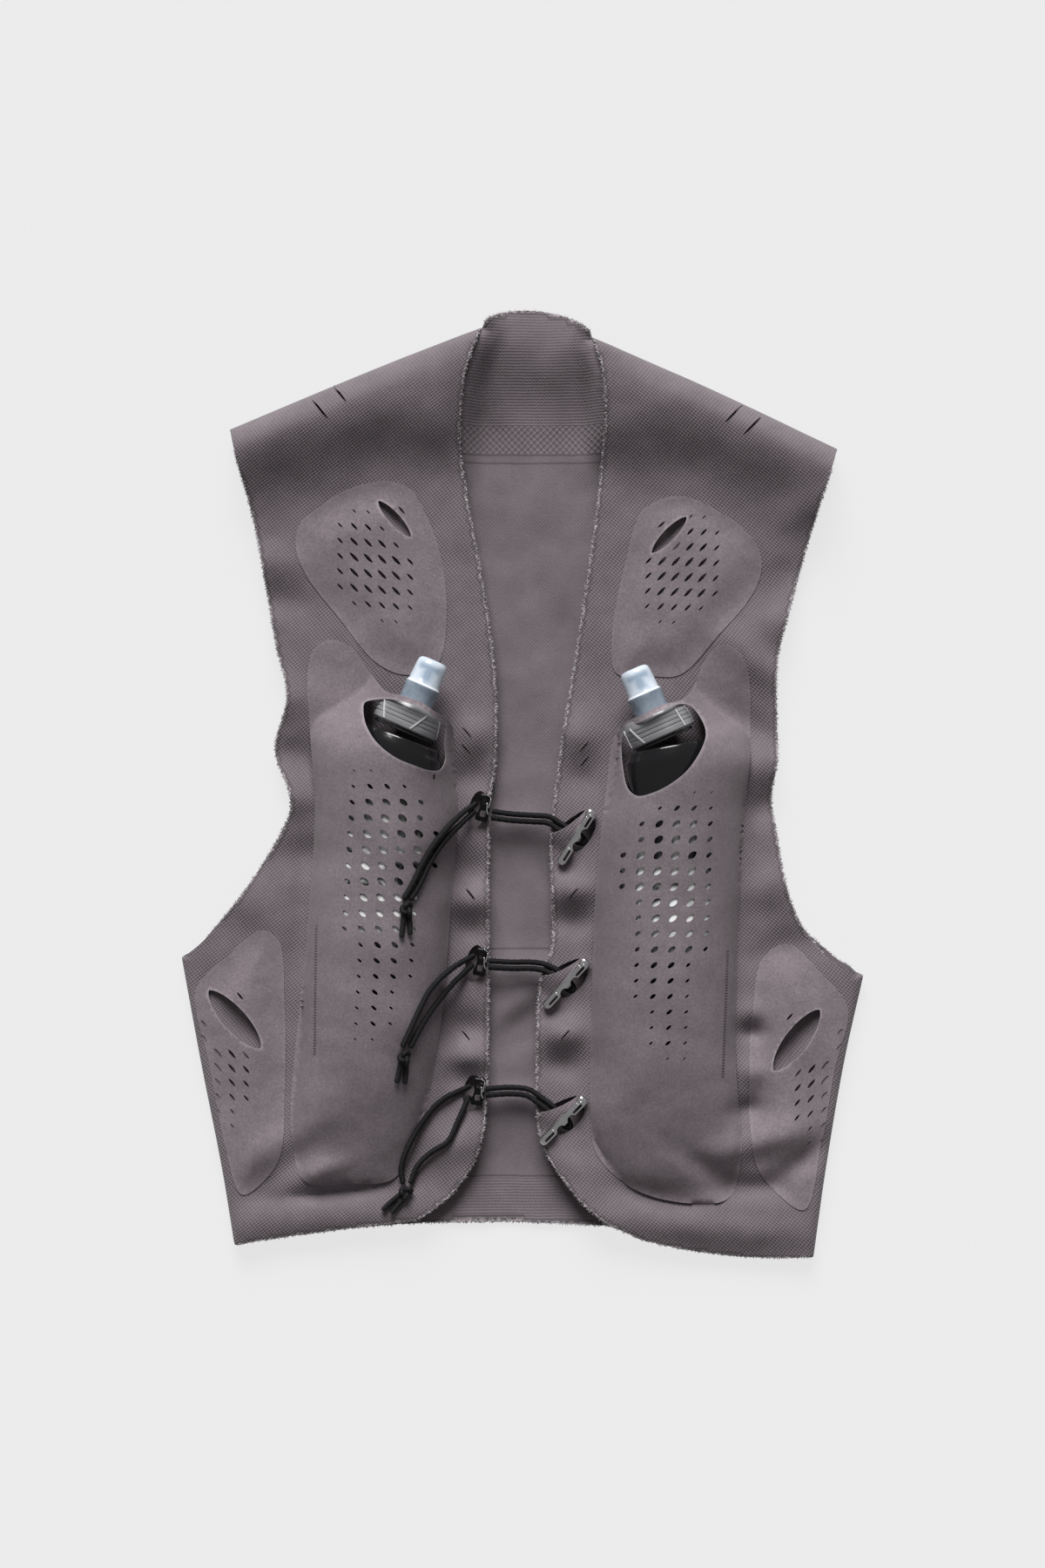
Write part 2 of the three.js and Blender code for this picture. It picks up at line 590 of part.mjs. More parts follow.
// Puff of a flat pocket above the front
function puffHeight(puff, out, y) {
  return puff.rise * Math.exp(-(((out - puff.out) / puff.wide) ** 2) - ((y - puff.y) / puff.long) ** 2);
}

// Middle surface of a flat pocket on a plain grid that covers its outline
function flatPocketRows(pocket) {
  const side = sides[pocket.side];
  const outs = pocket.outline.map(([out]) => out);
  const ys = pocket.outline.map(([, y]) => y);
  const range = (values) => {
    const low = Math.min(...values) - 3;
    const count = Math.ceil((Math.max(...values) + 3 - low) / flatCell);
    return Array.from({ length: count + 1 }, (_, i) => low + ((Math.max(...values) + 3 - low) * i) / count);
  };
  return range(ys).map((y) => range(outs).reverse().map((out) => {
    const x = side.sign * out;
    return new THREE.Vector3(x, y, panelHeight(pocket.side, x, y) + puffHeight(pocket.puff, out, y));
  }));
}

// Holes of a pierced pattern that are large enough to be cut through
function patternHoles(side, pattern, lattice) {
  const holes = [];
  pattern.rows.forEach((row, r) => {
    for (let c = row.from; c <= row.to; c += 1) {
      const edge = c === row.from || c === row.to ? pattern.edgeSize : 1;
      const long = pattern.longest * row.size * edge;
      const out = lattice.out + c * lattice.columnOut + r * lattice.rowOut;
      const y = lattice.y + c * (lattice.columnY ?? 0) + r * lattice.rowY;
      if (long >= pattern.cutFrom) {
        holes.push(oval(side.sign * out, y, side.sign * pattern.turn, long, long * pattern.wide, pattern.corners));
      }
    }
  });
  return holes;
}

const sky = 120;

// Panel cut to its outline, with its holes cut through
function cutPanel(rows, flip, outline, holes) {
  let solid = solidOf(thicken([{ rows, flip }], panel.wall)).intersect(prism(outline, -sky, sky));
  for (const hole of holes) solid = solid.subtract(prism(hole, -sky, sky));
  return geometryOf(solid);
}

function flaskPocketGeometry(name) {
  const pocket = flaskPockets[name];
  const side = sides[name];
  const rows = flaskPocketRows(name, pocket);
  const holes = patternHoles(side, patterns.flask, pocket.holes);
  const mouth = smoothOutline(side, pocket.mouth, 20);
  return cutPanel(rows, name === "right", smoothOutline(side, pocket.outline, 34), [mouth, ...holes]);
}

function flatPocketGeometry(pocket) {
  const side = sides[pocket.side];
  const slot = ({ out, y, turn, long, wide }, corners) => (
    oval(side.sign * out, y, side.sign * turn, long, wide, corners));
  const holes = patternHoles(side, patterns[pocket.pattern], pocket.slits);
  const cuts = [slot(pocket.mouth, 8), slot(pocket.tack, 4), ...holes];
  return cutPanel(flatPocketRows(pocket), pocket.side === "right", smoothOutline(side, pocket.outline, 24), cuts);
}

// Directions along and across a toggle bar
function barFrame({ x, y, turn }) {
  const along = new THREE.Vector3(Math.cos(turn * degrees), Math.sin(turn * degrees), 0);
  const across = new THREE.Vector3(along.y, -along.x, 0);
  const place = (a, b) => [x + along.x * a + across.x * b, y + along.y * a + across.y * b];
  return { along, across, place };
}

// Cloth strip that arches over the cord beside a toggle
function stripSolid(closure) {
  const { along, across, place } = barFrame(closure.toggle);
  const count = 8;
  const rise = (a) => cloth.frontHeight + eyelet.rise * (1 - (a / eyelet.reach) ** 2);
  const stops = Array.from({ length: count + 1 }, (_, i) => eyelet.reach * ((2 * i) / count - 1));
  const upper = stops.map((a) => new THREE.Vector2(a, rise(a) + cloth.wall * 0.45));
  const lower = stops.map((a) => new THREE.Vector2(a, rise(a) - cloth.wall * 0.45)).reverse();
  const depth = eyelet.stripTo - eyelet.stripFrom;
  const geometry = new THREE.ExtrudeGeometry(new THREE.Shape([...lower, ...upper]), { depth, bevelEnabled: false });
  const [x, y] = place(0, eyelet.stripFrom);
  const matrix = new THREE.Matrix4().makeBasis(along, new THREE.Vector3(0, 0, 1), across).setPosition(x, y, 0);
  return solidOf(geometry.applyMatrix4(matrix));
}

// Vest shell: fronts and back as one wall, with the toggle eyelets, lock slits and spare slits cut
function shellGeometry() {
  const surfaces = [
    { rows: fronts.left, flip: false },
    { rows: fronts.right, flip: true },
    { rows: backRows(), flip: true },
  ];
  const between = (cloth.frontHeight + cloth.backHeight) / 2;
  let solid = solidOf(thicken(surfaces, cloth.wall));
  const cut = (outline) => {
    solid = solid.subtract(prism(outline, between, sky));
  };
  for (const closure of closures) {
    const { place } = barFrame(closure.toggle);
    const [x, y] = place(0, (eyelet.stripFrom + 10) / 2);
    cut(oval(x, y, closure.toggle.turn, eyelet.long, eyelet.wide, 8));
    cut(oval(closure.lock.x - 8.5, closure.lock.y + 2, closure.lock.turn, 26, 6, 6));
    solid = solid.add(stripSolid(closure));
  }
  for (const slit of spareSlits) {
    const { sign } = sides[slit.side];
    for (const y of [slit.y - spareSlit.pair / 2, slit.y + spareSlit.pair / 2]) {
      cut(oval(sign * slit.out, y, sign * spareSlit.turn, spareSlit.long, spareSlit.wide, 4));
    }
  }
  for (const slit of shoulderSlits) {
    const { sign } = sides[slit.side];
    cut(oval(sign * slit.out, slit.y, sign * slit.turn, shoulderSlit.long, shoulderSlit.wide, 4));
  }
  return geometryOf(solid);
}

// Soft flask: a body lofted through ovals, then collar, cap and bite valve along a leaning axis
function flaskBodyGeometry(name) {
  const side = sides[name];
  const rows = flaskPockets[name].body;
  const around = 16;
  const floor = cloth.frontHeight + cloth.wall / 2 + seat;
  const centres = rows.map((row) => new THREE.Vector2(side.sign * row.out, row.y));
  const positions = [];
  rows.forEach((row, i) => {
    const before = centres[Math.max(i - 1, 0)];
    const after = centres[Math.min(i + 1, rows.length - 1)];
    const axis = after.clone().sub(before).normalize();
    for (let k = 0; k < around; k += 1) {
      const angle = (2 * Math.PI * k) / around;
      const wide = row.halfWide * Math.cos(angle);
      positions.push(
        centres[i].x - axis.y * wide,
        centres[i].y + axis.x * wide,
        floor + row.halfThick * (1 + Math.sin(angle)),
      );
    }
  });
  const last = rows.length - 1;
  for (const i of [0, last]) positions.push(centres[i].x, centres[i].y, floor + rows[i].halfThick);
  const indices = [];
  for (let k = 0; k < around; k += 1) {
    const next = (k + 1) % around;
    for (let i = 0; i < last; i += 1) {
      const [a, b] = [i * around + k, i * around + next];
      indices.push(a, b, b + around, a, b + around, a + around);
    }
    indices.push(rows.length * around, next, k);
    indices.push(rows.length * around + 1, last * around + k, last * around + next);
  }
  const geometry = new THREE.BufferGeometry();
  geometry.setAttribute("position", new THREE.Float32BufferAttribute(positions, 3));
  geometry.setIndex(indices);
  return geometry;
}

function turned(profile, segments) {
  return new THREE.LatheGeometry(profile.map(([radius, height]) => new THREE.Vector2(radius, height)), segments);
}

function flaskHeadGeometries() {
  const { capRadius, capHeight, valveRadius, collarHeight, joint } = flask;
  const collarTop = collarHeight - joint;
  const capTop = collarHeight + capHeight;
  const valveFoot = capTop + joint;
  return {
    flask_collar: turned([[0, 0.3], [22, 0.3], [22, collarTop], [0, collarTop]], 20),
    flask_cap: turned([
      [0, collarHeight], [capRadius, collarHeight], [capRadius, capTop - 5], [capRadius - 3.5, capTop], [0, capTop],
    ], 20),
    bite_valve: turned([
      [0, valveFoot], [valveRadius, valveFoot], [valveRadius, valveFoot + 12], [valveRadius - 2, valveFoot + 15],
      [valveRadius - 1.5, valveFoot + 31], [valveRadius - 4, valveFoot + 33.5], [0, valveFoot + 33.5],
    ], 12),
  };
}

// Toggle bar: straight on one side, waisted on the other where the cord turns, with a slot in each end
function toggleGeometry() {
  const { length, width, thick } = toggle;
  const [end, side, round] = [length / 2, width / 2, 2.5];
  const shape = new THREE.Shape();
  shape.moveTo(-end + round, side);
  shape.lineTo(-end, side - round);
  shape.lineTo(-end, -side + round);
  shape.lineTo(-end + round, -side);
  for (const middle of [-6, 6]) {
    shape.lineTo(middle - 5, -side);
    shape.quadraticCurveTo(middle, -side + 5.5, middle + 4, -side + 1);
  }
  shape.lineTo(end - round, -side);
  shape.lineTo(end, -side + round);
  shape.lineTo(end, side - round);
  shape.lineTo(end - round, side);
  for (const middle of [-end + 8, end - 8]) {
    const slot = new THREE.Path();
    slot.moveTo(middle - 5, -0.6);
    slot.lineTo(middle - 5, -2);
    slot.lineTo(middle + 5, -2);
    slot.lineTo(middle + 5, -0.6);
    shape.holes.push(slot);
  }
  return new THREE.ExtrudeGeometry(shape, { depth: thick, bevelEnabled: false, curveSegments: 4 });
}

// Cord lock: a short block with a notch on each side where the cords pass
function lockGeometry() {
  const { length, width, thick } = lock;
  const [end, side] = [length / 2, width / 2];
  const shape = new THREE.Shape();
  shape.moveTo(-end, -side + 2);
  shape.lineTo(-end + 2, -side);
  shape.lineTo(end - 2, -side);
  shape.lineTo(end, -side + 2);
  shape.lineTo(end, side - 2);
  shape.lineTo(end - 2, side);
  shape.quadraticCurveTo(0, side - 2.5, -end + 2, side);
  shape.lineTo(-end, side - 2);
  return new THREE.ExtrudeGeometry(shape, { depth: thick, bevelEnabled: false, curveSegments: 4 });
}

// Round cord along a smooth path
function cordGeometry(points, step) {
  const radius = cord.diameter / 2;
  const ring = Array.from({ length: cord.sides }, (_, i) => {
    const angle = (2 * Math.PI * i) / cord.sides;
    return new THREE.Vector2(radius * Math.cos(angle), radius * Math.sin(angle));
  });
  const path = new THREE.CatmullRomCurve3(points, false, "centripetal");
  const steps = Math.max(2, Math.round(path.getLength() / step));
  return new THREE.ExtrudeGeometry(new THREE.Shape(ring), { steps, extrudePath: path, bevelEnabled: false });
}

// Top of the cloth on the left half, flask pocket included
function clothTop(x, y) {
  const swell = swellHeight(flaskPockets.left, -x, y);
  return panelHeight("left", x, y) + panel.wall / 2 + swell;
}

// Height at which the middle of a cord lies on the cloth, measured all round it
function restHeight(x, y) {
  const radius = cord.diameter / 2 + cord.gap;
  let height = clothTop(x, y) + radius;
  for (let i = 0; i < 8; i += 1) {
    const angle = (i * Math.PI) / 4;
    for (const share of [0.6, 0.95]) {
      const aside = radius * share;
      const top = clothTop(x + aside * Math.cos(angle), y + aside * Math.sin(angle));
      height = Math.max(height, top + radius * Math.sqrt(1 - share * share));
    }
  }
  return height;
}

// Doubled cord from the lock, under the strip, round the toggle and back
function loopGeometry(closure) {
  const { across, place } = barFrame(closure.toggle);
  const under = cloth.frontHeight + cloth.wall / 2 + toggleSeat - 2 * seat - cord.diameter / 2;
  const middle = [
    ...closure.loop,
    [...place(0, -14), under + 5],
    [...place(0, -9.5), under + 3.2],
    [...place(0, -5), under],
    [...place(0, 4), under],
  ].map((point) => new THREE.Vector3(...point));
  const legs = [1, -1].map((turn) => middle.map((point, i) => {
    const before = middle[Math.max(i - 1, 0)];
    const after = middle[Math.min(i + 1, middle.length - 1)];
    const away = new THREE.Vector3(before.y - after.y, after.x - before.x, 0).normalize();
    return point.clone().addScaledVector(away, turn * cord.spread);
  }));
  const bend = middle.at(-1).clone().addScaledVector(across, cord.spread + 1);
  return cordGeometry([...legs[0], bend, ...legs[1].reverse()], cord.loopStep);
}

// Tail that lies over the cloth and bridges the hollows
function tailGeometry(points) {
  const flat = points.map(([x, y]) => new THREE.Vector3(x, y, 0));
  const route = new THREE.CatmullRomCurve3(flat, false, "centripetal");
  const path = route.getSpacedPoints(Math.round(route.getLength() / cord.diameter));
  path.forEach((point) => point.setZ(restHeight(point.x, point.y)));
  for (let pass = 0; pass < 10; pass += 1) {
    for (let i = 1; i + 1 < path.length; i += 1) {
      path[i].z = Math.max(path[i].z, (path[i - 1].z + path[i + 1].z) / 2);
    }
  }
  return cordGeometry(path, cord.tailStep);
}

// Knot with the two short ends below it, as one solid
function knotGeometry({ x, y, turn, ends }) {
  const height = restHeight(x, y) + knot.thick / 2 - cord.diameter / 2;
  const lump = new THREE.SphereGeometry(0.5, 8, 6).scale(knot.long, knot.wide, knot.thick);
  let solid = solidOf(lump.rotateZ(turn * degrees).translate(x, y, height));
  const [c, s] = [Math.cos(turn * degrees), Math.sin(turn * degrees)];
  for (const [aside, reach] of ends) {
    const at = (along, across) => [x + c * along - s * across, y + s * along + c * across];
    const stops = [at(0, aside * 0.4), at(reach * 0.5, aside * 0.8), at(reach, aside)];
    const path = stops.map((point, i) => new THREE.Vector3(...point, i === 0 ? height : restHeight(...point)));
    solid = solid.add(solidOf(cordGeometry(path, cord.tailStep)));
  }
  return geometryOf(solid);
}

// Finishes
const finishes = {
  cloth: { color: 0x6b6266, roughness: 0.95, metalness: 0 },
  panel: { color: 0x746a6f, roughness: 0.85, metalness: 0 },
  cord: { color: 0x17171b, roughness: 0.8, metalness: 0 },
  steel: { color: 0xc9c9cb, roughness: 0.25, metalness: 1 },
  darkMetal: { color: 0x1c1c1f, roughness: 0.35, metalness: 0.8 },
  smokeFilm: { color: 0x2c2d30, roughness: 0.25, metalness: 0 },
  smokePlastic: { color: 0x77787d, roughness: 0.4, metalness: 0 },
  silicone: { color: 0xb9c4d2, roughness: 0.35, metalness: 0 },
};

const vest = new THREE.Group();

function addPiece(parent, name, geometry, finish) {
  const piece = new THREE.Mesh(geometry, new THREE.MeshStandardMaterial(finishes[finish]));
  piece.name = name;
  parent.add(piece);
  return piece;
}

addPiece(vest, "vest_shell", shellGeometry(), "cloth");
for (const [name, pocket] of Object.entries(flatPockets)) {
  addPiece(vest, name, flatPocketGeometry(pocket), "panel");
}
for (const name of ["left", "right"]) {
  const { sign } = sides[name];
  const { out, y } = flaskPockets[name].head;
  addPiece(vest, `flask_pocket_${name}`, flaskPocketGeometry(name), "panel");
  addPiece(vest, `flask_body_${name}`, flaskBodyGeometry(name), "smokeFilm");
  const head = new THREE.Group();
  head.position.set(sign * out, y, cloth.frontHeight + cloth.wall / 2 + seat + flask.capRadius);
  head.rotation.z = sign * flask.lean * degrees;
  const headFinishes = { flask_collar: "darkMetal", flask_cap: "smokePlastic", bite_valve: "silicone" };
  for (const [part, geometry] of Object.entries(flaskHeadGeometries())) {
    addPiece(head, `${part}_${name}`, geometry, headFinishes[part]);
  }
  vest.add(head);
}
closures.forEach((closure, i) => {
  const number = i + 1;
  const bar = addPiece(vest, `toggle_bar_${number}`, toggleGeometry(), "steel");
  bar.position.set(closure.toggle.x, closure.toggle.y, cloth.frontHeight + cloth.wall / 2 + toggleSeat);
  bar.rotation.z = closure.toggle.turn * degrees;
  const block = addPiece(vest, `cord_lock_${number}`, lockGeometry(), "darkMetal");
  block.position.set(closure.lock.x, closure.lock.y, cloth.frontHeight + cloth.wall / 2 + seat);
  block.rotation.z = closure.lock.turn * degrees;
  addPiece(vest, `cord_loop_${number}`, loopGeometry(closure), "cord");
  closure.tails.forEach((tail, k) => addPiece(vest, `cord_tail_${number}${"ab"[k]}`, tailGeometry(tail), "cord"));
  addPiece(vest, `cord_knot_${number}`, knotGeometry(closure.knot), "cord");
});

// The origin is the middle of the vest's own box, on the floor
const box = new THREE.Box3();
vest.updateMatrixWorld(true);
vest.children.filter((piece) => !piece.name.startsWith("cord_")).forEach((piece) => box.expandByObject(piece, true));
const middle = box.getCenter(new THREE.Vector3());
vest.position.set(-middle.x, -middle.y, -box.min.z);

export default vest;
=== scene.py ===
import math
import random

import bmesh
import bpy
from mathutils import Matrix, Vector, kdtree, noise
from mathutils.geometry import delaunay_2d_cdt


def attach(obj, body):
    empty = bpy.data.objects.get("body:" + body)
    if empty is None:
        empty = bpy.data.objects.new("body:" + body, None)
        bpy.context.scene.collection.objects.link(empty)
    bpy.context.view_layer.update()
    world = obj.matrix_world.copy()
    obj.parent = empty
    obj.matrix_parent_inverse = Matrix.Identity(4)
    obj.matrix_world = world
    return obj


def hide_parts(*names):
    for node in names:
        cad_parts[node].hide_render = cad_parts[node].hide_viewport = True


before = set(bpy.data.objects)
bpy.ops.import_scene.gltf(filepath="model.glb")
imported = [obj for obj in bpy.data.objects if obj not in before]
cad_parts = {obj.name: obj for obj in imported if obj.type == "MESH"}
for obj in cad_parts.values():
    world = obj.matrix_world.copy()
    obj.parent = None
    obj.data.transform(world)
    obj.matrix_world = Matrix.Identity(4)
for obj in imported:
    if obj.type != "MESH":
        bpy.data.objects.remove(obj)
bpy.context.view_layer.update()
mm = 0.001  # the tables of shapes are in millimetres
degrees = math.pi / 180
fullTurn = 2 * math.pi

# Camera: straight above the lying vest
shot = {"high": 1800, "pixel": 0.63, "lens": 100, "sensor": 36, "clothLevel": 14, "farthest": 20}


def addCamera():
    away = shot["high"] * shot["pixel"] * shot["lens"] / shot["sensor"] + shot["clothLevel"]
    bpy.ops.object.camera_add(location=(0, 0, away * mm), rotation=(0, 0, 0))
    camera = bpy.context.object
    camera.data.lens = shot["lens"]
    camera.data.sensor_width = shot["sensor"]
    camera.data.clip_end = shot["farthest"]
    bpy.context.scene.camera = camera


addCamera()
print("camera set")

# Outlines of the two halves: height y, then distance out from the centre line
sides = {
    "left": {
        "sign": -1, "hemSag": 1,
        "sideFold": [(-333, 209), (-278, 218), (-202, 233), (-126, 247)],
        "armhole": [(-126, 247), (-112, 230), (-76, 200), (-26, 170), (-8, 168), (25, 179), (63, 170),
                    (100, 178), (189, 194), (256, 212)],
        "shoulder": [(256, 212), (305, 94), (328, 30)],
        "frontEdge": [(-315, 75), (-295, 50), (-265, 32), (-221, 26), (-16, 24), (12, 20), (75, 20),
                      (138, 28), (239, 45), (279, 44), (299, 40.5), (314, 35.5), (328, 30)],
        "backInset": [(-126, 4), (256, 4)],
    },
    "right": {
        "sign": 1, "hemSag": -5,
        "sideFold": [(-342, 211), (-278, 220), (-202, 233), (-139, 247)],
        "armhole": [(-139, 247), (-126, 221), (-88, 195), (-26, 182), (-8, 180), (19, 184), (88, 184),
                    (126, 193), (201, 214), (242, 228)],
        "shoulder": [(242, 228), (290, 126), (321, 51)],
        "frontEdge": [(-330, 88), (-315, 57), (-281, 26), (-250, 12), (-177, 11), (-144, 13), (-115, 22),
                      (-39, 21), (31, 29), (88, 38), (189, 53), (259, 60), (279, 59.5), (300, 57),
                      (321, 51)],
        "backInset": [(-139, -9), (-120, -5), (-90, 4), (242, 4)],
    },
}

# Cloth of the shell; its ripple and crinkle are noise layer, size and height
cloth = {
    "wall": 2.0, "backHeight": 1.0, "frontHeight": 14.0, "middle": 8, "roundFold": 6.5, "softFold": 18,
    "neckLift": 18, "neckReach": 40, "neckCalm": 0.75, "foldReach": 12, "ripple": (40, 30, 1.6),
    "crinkle": (90, 9, 0.22), "ragged": 0.3, "seed": 7, "openRun": 30, "insetRun": 9, "joined": 0.01,
    "apart": 0.99, "lineSteps": 400, "edgeSteps": 500, "edgeStep": 2.0, "frontStep": 3.4, "frontClear": 0.55,
    "rowShare": 0.866, "rings": (0.5, 1.4, 2.8, 4.6, 6.7), "smoothUnder": 50,
}

# Soft folds of the fronts: middle x, y, direction in degrees, half length, half width, height
folds = [(-124, 275, 21, 400, 34, 24), (137, 267, -24, 400, 34, 23), (-62, 262, 12, 34, 24, 9),
         (72, 255, -14, 34, 24, 9), (-140, -346, 0, 95, 24, -8), (145, -354, 0, 95, 24, -8),
         (-182, 160, 0, 26, 12, 4), (-180, 132, 0, 26, 12, -4), (-172, 62, 0, 24, 14, 5),
         (-170, 22, 0, 24, 13, -5), (-166, -10, 0, 26, 13, 5), (-160, -52, 0, 32, 15, -5),
         (-197, -88, -35, 32, 16, 4), (-160, -90, 88, 60, 8, -3), (204, 198, 20, 30, 14, 4),
         (194, 150, 20, 28, 14, -4), (187, 118, 25, 28, 14, 5), (168, 88, -38, 32, 12, 5),
         (158, 47, -38, 34, 13, -6), (178, 14, 0, 20, 13, 6), (176, -16, 0, 20, 12, -6),
         (180, -74, 10, 26, 14, 5), (190, -118, 15, 30, 13, -5), (-36, 35, 0, 14, 14, 6),
         (-39, 3, 0, 16, 12, -5), (-39, -62, 0, 16, 14, -6), (-38, -83, 0, 16, 11, 8),
         (-39, -107, 0, 16, 11, -5), (-40, -177, 0, 16, 14, -7), (-38, -195, 0, 16, 10, 8),
         (-40, -213, 0, 16, 10, -4), (-42, -258, 10, 22, 14, 5), (-50, -150, 88, 80, 6, -3),
         (42, 35, 0, 16, 14, 6), (41, 3, 0, 16, 12, -4), (36, -76, 0, 16, 11, 9),
         (35, -100, 0, 16, 10, -5), (30, -180, 0, 16, 11, 9), (28, -204, 0, 16, 10, -5),
         (36, -276, -30, 24, 12, 4), (46, -304, -40, 26, 16, 6), (-154, -262, 27, 26, 10, -2),
         (-150, -281, 18, 22, 8, 5), (-136, -296, 6, 34, 5, -6), (-180, -262, 35, 28, 12, 4),
         (-180, -290, 35, 30, 12, -4), (-130, -314, 5, 60, 12, 4), (-204, -318, 50, 30, 14, 3),
         (172, -258, 16, 40, 11, 7), (132, -276, -35, 24, 9, -5), (164, -292, 0, 30, 9, -7),
         (202, -274, 35, 26, 9, -6), (165, -164, 0, 11, 8, 3), (165, -180, 0, 10, 7, -6),
         (166, -208, 0, 12, 10, 5), (162, -235, 10, 12, 8, -7), (92, -296, -12, 34, 9, -4),
         (130, -320, -5, 80, 12, 4)]

# Folds of the back, seen between the fronts
backFolds = [(-2, -28, 0, 21, 9, 4), (-4, -134, 0, 20, 8, 3), (-5, -158, 42, 21, 9, 5),
             (3, -178, 42, 21, 9, -3), (-6, -228, 0, 22, 9, 4), (-14, -90, 88, 40, 7, -2)]


def clamp(value, low=0.0, high=1.0):
    return max(low, min(high, value))


def smooth(value, low, high):
    t = clamp((value - low) / (high - low))
    return t * t * (3 - 2 * t)


# Smooth value of one column of a table at height y; the rows run up the vest
def valueAt(rows, y, column=1):
    last = len(rows) - 1
    if y <= rows[0][0]:
        return rows[0][column]
    if y >= rows[last][0]:
        return rows[last][column]
    i = 0
    while y > rows[i + 1][0]:
        i += 1

    def slope(k):
        before = rows[max(k - 1, 0)]
        after = rows[min(k + 1, last)]
        return (after[column] - before[column]) / (after[0] - before[0])

    span = rows[i + 1][0] - rows[i][0]
    t = (y - rows[i][0]) / span
    t2 = t * t
    t3 = t2 * t
    ends = rows[i][column] * (2 * t3 - 3 * t2 + 1) + rows[i + 1][column] * (3 * t2 - 2 * t3)
    return ends + span * (slope(i) * (t3 - 2 * t2 + t) + slope(i + 1) * (t3 - t2))


# Polyline at even steps, measured in plan or along its whole length, with its ends kept
def evenly(points, step, axes=2):
    lengths = [0.0]
    for a, b in zip(points, points[1:]):
        lengths.append(lengths[-1] + math.dist(a[:axes], b[:axes]))
    count = max(1, round(lengths[-1] / step))
    line = []
    k = 0
    for i in range(count + 1):
        s = lengths[-1] * i / count
        while k + 2 < len(lengths) and lengths[k + 1] < s:
            k += 1
        span = lengths[k + 1] - lengths[k]
        t = (s - lengths[k]) / span if span else 0
        line.append(tuple(a + (b - a) * t for a, b in zip(points[k], points[k + 1])))
    return line


# Smooth curve through points, with the knots spaced by the root of their distance
def throughPoints(points, closed=False, pieces=16):
    points = [Vector(p) for p in points]
    count = len(points)
    if closed:
        ring = [points[-1]] + points + points[:2]
    else:
        ring = [2 * points[0] - points[1]] + points + [2 * points[-1] - points[-2]]
    line = []
    for i in range(count if closed else count - 1):
        p = ring[i:i + 4]
        knots = [0.0]
        for a, b in zip(p, p[1:]):
            knots.append(knots[-1] + max((b - a).length, 1e-6) ** 0.5)
        t0, t1, t2, t3 = knots
        for k in range(pieces):
            t = t1 + (t2 - t1) * k / pieces
            a1 = p[0] * ((t1 - t) / (t1 - t0)) + p[1] * ((t - t0) / (t1 - t0))
            a2 = p[1] * ((t2 - t) / (t2 - t1)) + p[2] * ((t - t1) / (t2 - t1))
            a3 = p[2] * ((t3 - t) / (t3 - t2)) + p[3] * ((t - t2) / (t3 - t2))
            b1 = a1 * ((t2 - t) / (t2 - t0)) + a2 * ((t - t0) / (t2 - t0))
            b2 = a2 * ((t3 - t) / (t3 - t1)) + a3 * ((t - t1) / (t3 - t1))
            line.append(tuple(b1 * ((t2 - t) / (t2 - t1)) + b2 * ((t - t1) / (t2 - t1))))
    line.append(tuple(points[0] if closed else points[-1]))
    return line


# Distances of a spot along and across a direction, from a middle
def turnedSpot(x, y, midX, midY, turn):
    c, s = math.cos(turn * degrees), math.sin(turn * degrees)
    dx, dy = x - midX, y - midY
    return dx * c + dy * s, dy * c - dx * s


# The other way round: the place of such a spot
def placed(midX, midY, turn, along, across):
    c, s = math.cos(turn * degrees), math.sin(turn * degrees)
    return midX + c * along - s * across, midY + s * along + c * across


# Outer outline of one half from the hem corner to the neck, with how far front and back are apart there
def outerLine(name, back=False):
    side = sides[name]
    line = []
    for part in ("sideFold", "armhole", "shoulder"):
        rows = side[part]
        low, high = rows[0][0], rows[-1][0]
        fine = []
        for i in range(cloth["lineSteps"] + 1):
            y = low + (high - low) * i / cloth["lineSteps"]
            gap = 0
            if part == "armhole":
                gap = smooth(y, low, low + cloth["openRun"]) * smooth(high - y, 0, cloth["openRun"])
            inset = cloth["wall"] / 2 * (1 - gap)
            if back and part == "armhole":
                free = smooth(y, low, low + cloth["insetRun"]) * smooth(high - y, 0, cloth["openRun"])
                inset += free * valueAt(side["backInset"], y)
            fine.append((side["sign"] * (valueAt(rows, y) - inset), y, gap))
        line += evenly(fine, cloth["edgeStep"])[1 if line else 0:]
    return line


def treeOf(points):
    tree = kdtree.KDTree(len(points))
    for i, point in enumerate(points):
        tree.insert((point[0], point[1], 0), i)
    tree.balance()
    return tree


def foldTree(line):
    return treeOf([point for point in line if point[2] < cloth["joined"]])


def unevenness(x, y, layer, size, height):
    return noise.noise(Vector((x, y, layer)) / size) * height


def foldHeight(x, y, table=folds):
    height = 0
    for midX, midY, turn, long, wide, rise in table:
        if table is folds and (midX < 0) != (x < 0):
            continue
        along, across = turnedSpot(x, y, midX, midY, turn)
        along, across = along / long, across / wide
        reach = along * along + across * across
        if reach < cloth["foldReach"]:
            height += rise * math.exp(-reach)
    return height + unevenness(x, y, *cloth["ripple"]) + unevenness(x, y, *cloth["crinkle"])


# Both layers stand up together where the shoulders meet the collar
def neckLift(x, y):
    lift = 0
    for side in sides.values():
        neckY, neckOut = side["shoulder"][-1]
        away = math.hypot(x - side["sign"] * neckOut, y - neckY) / cloth["neckReach"]
        lift += cloth["neckLift"] * math.exp(-away * away)
    return lift


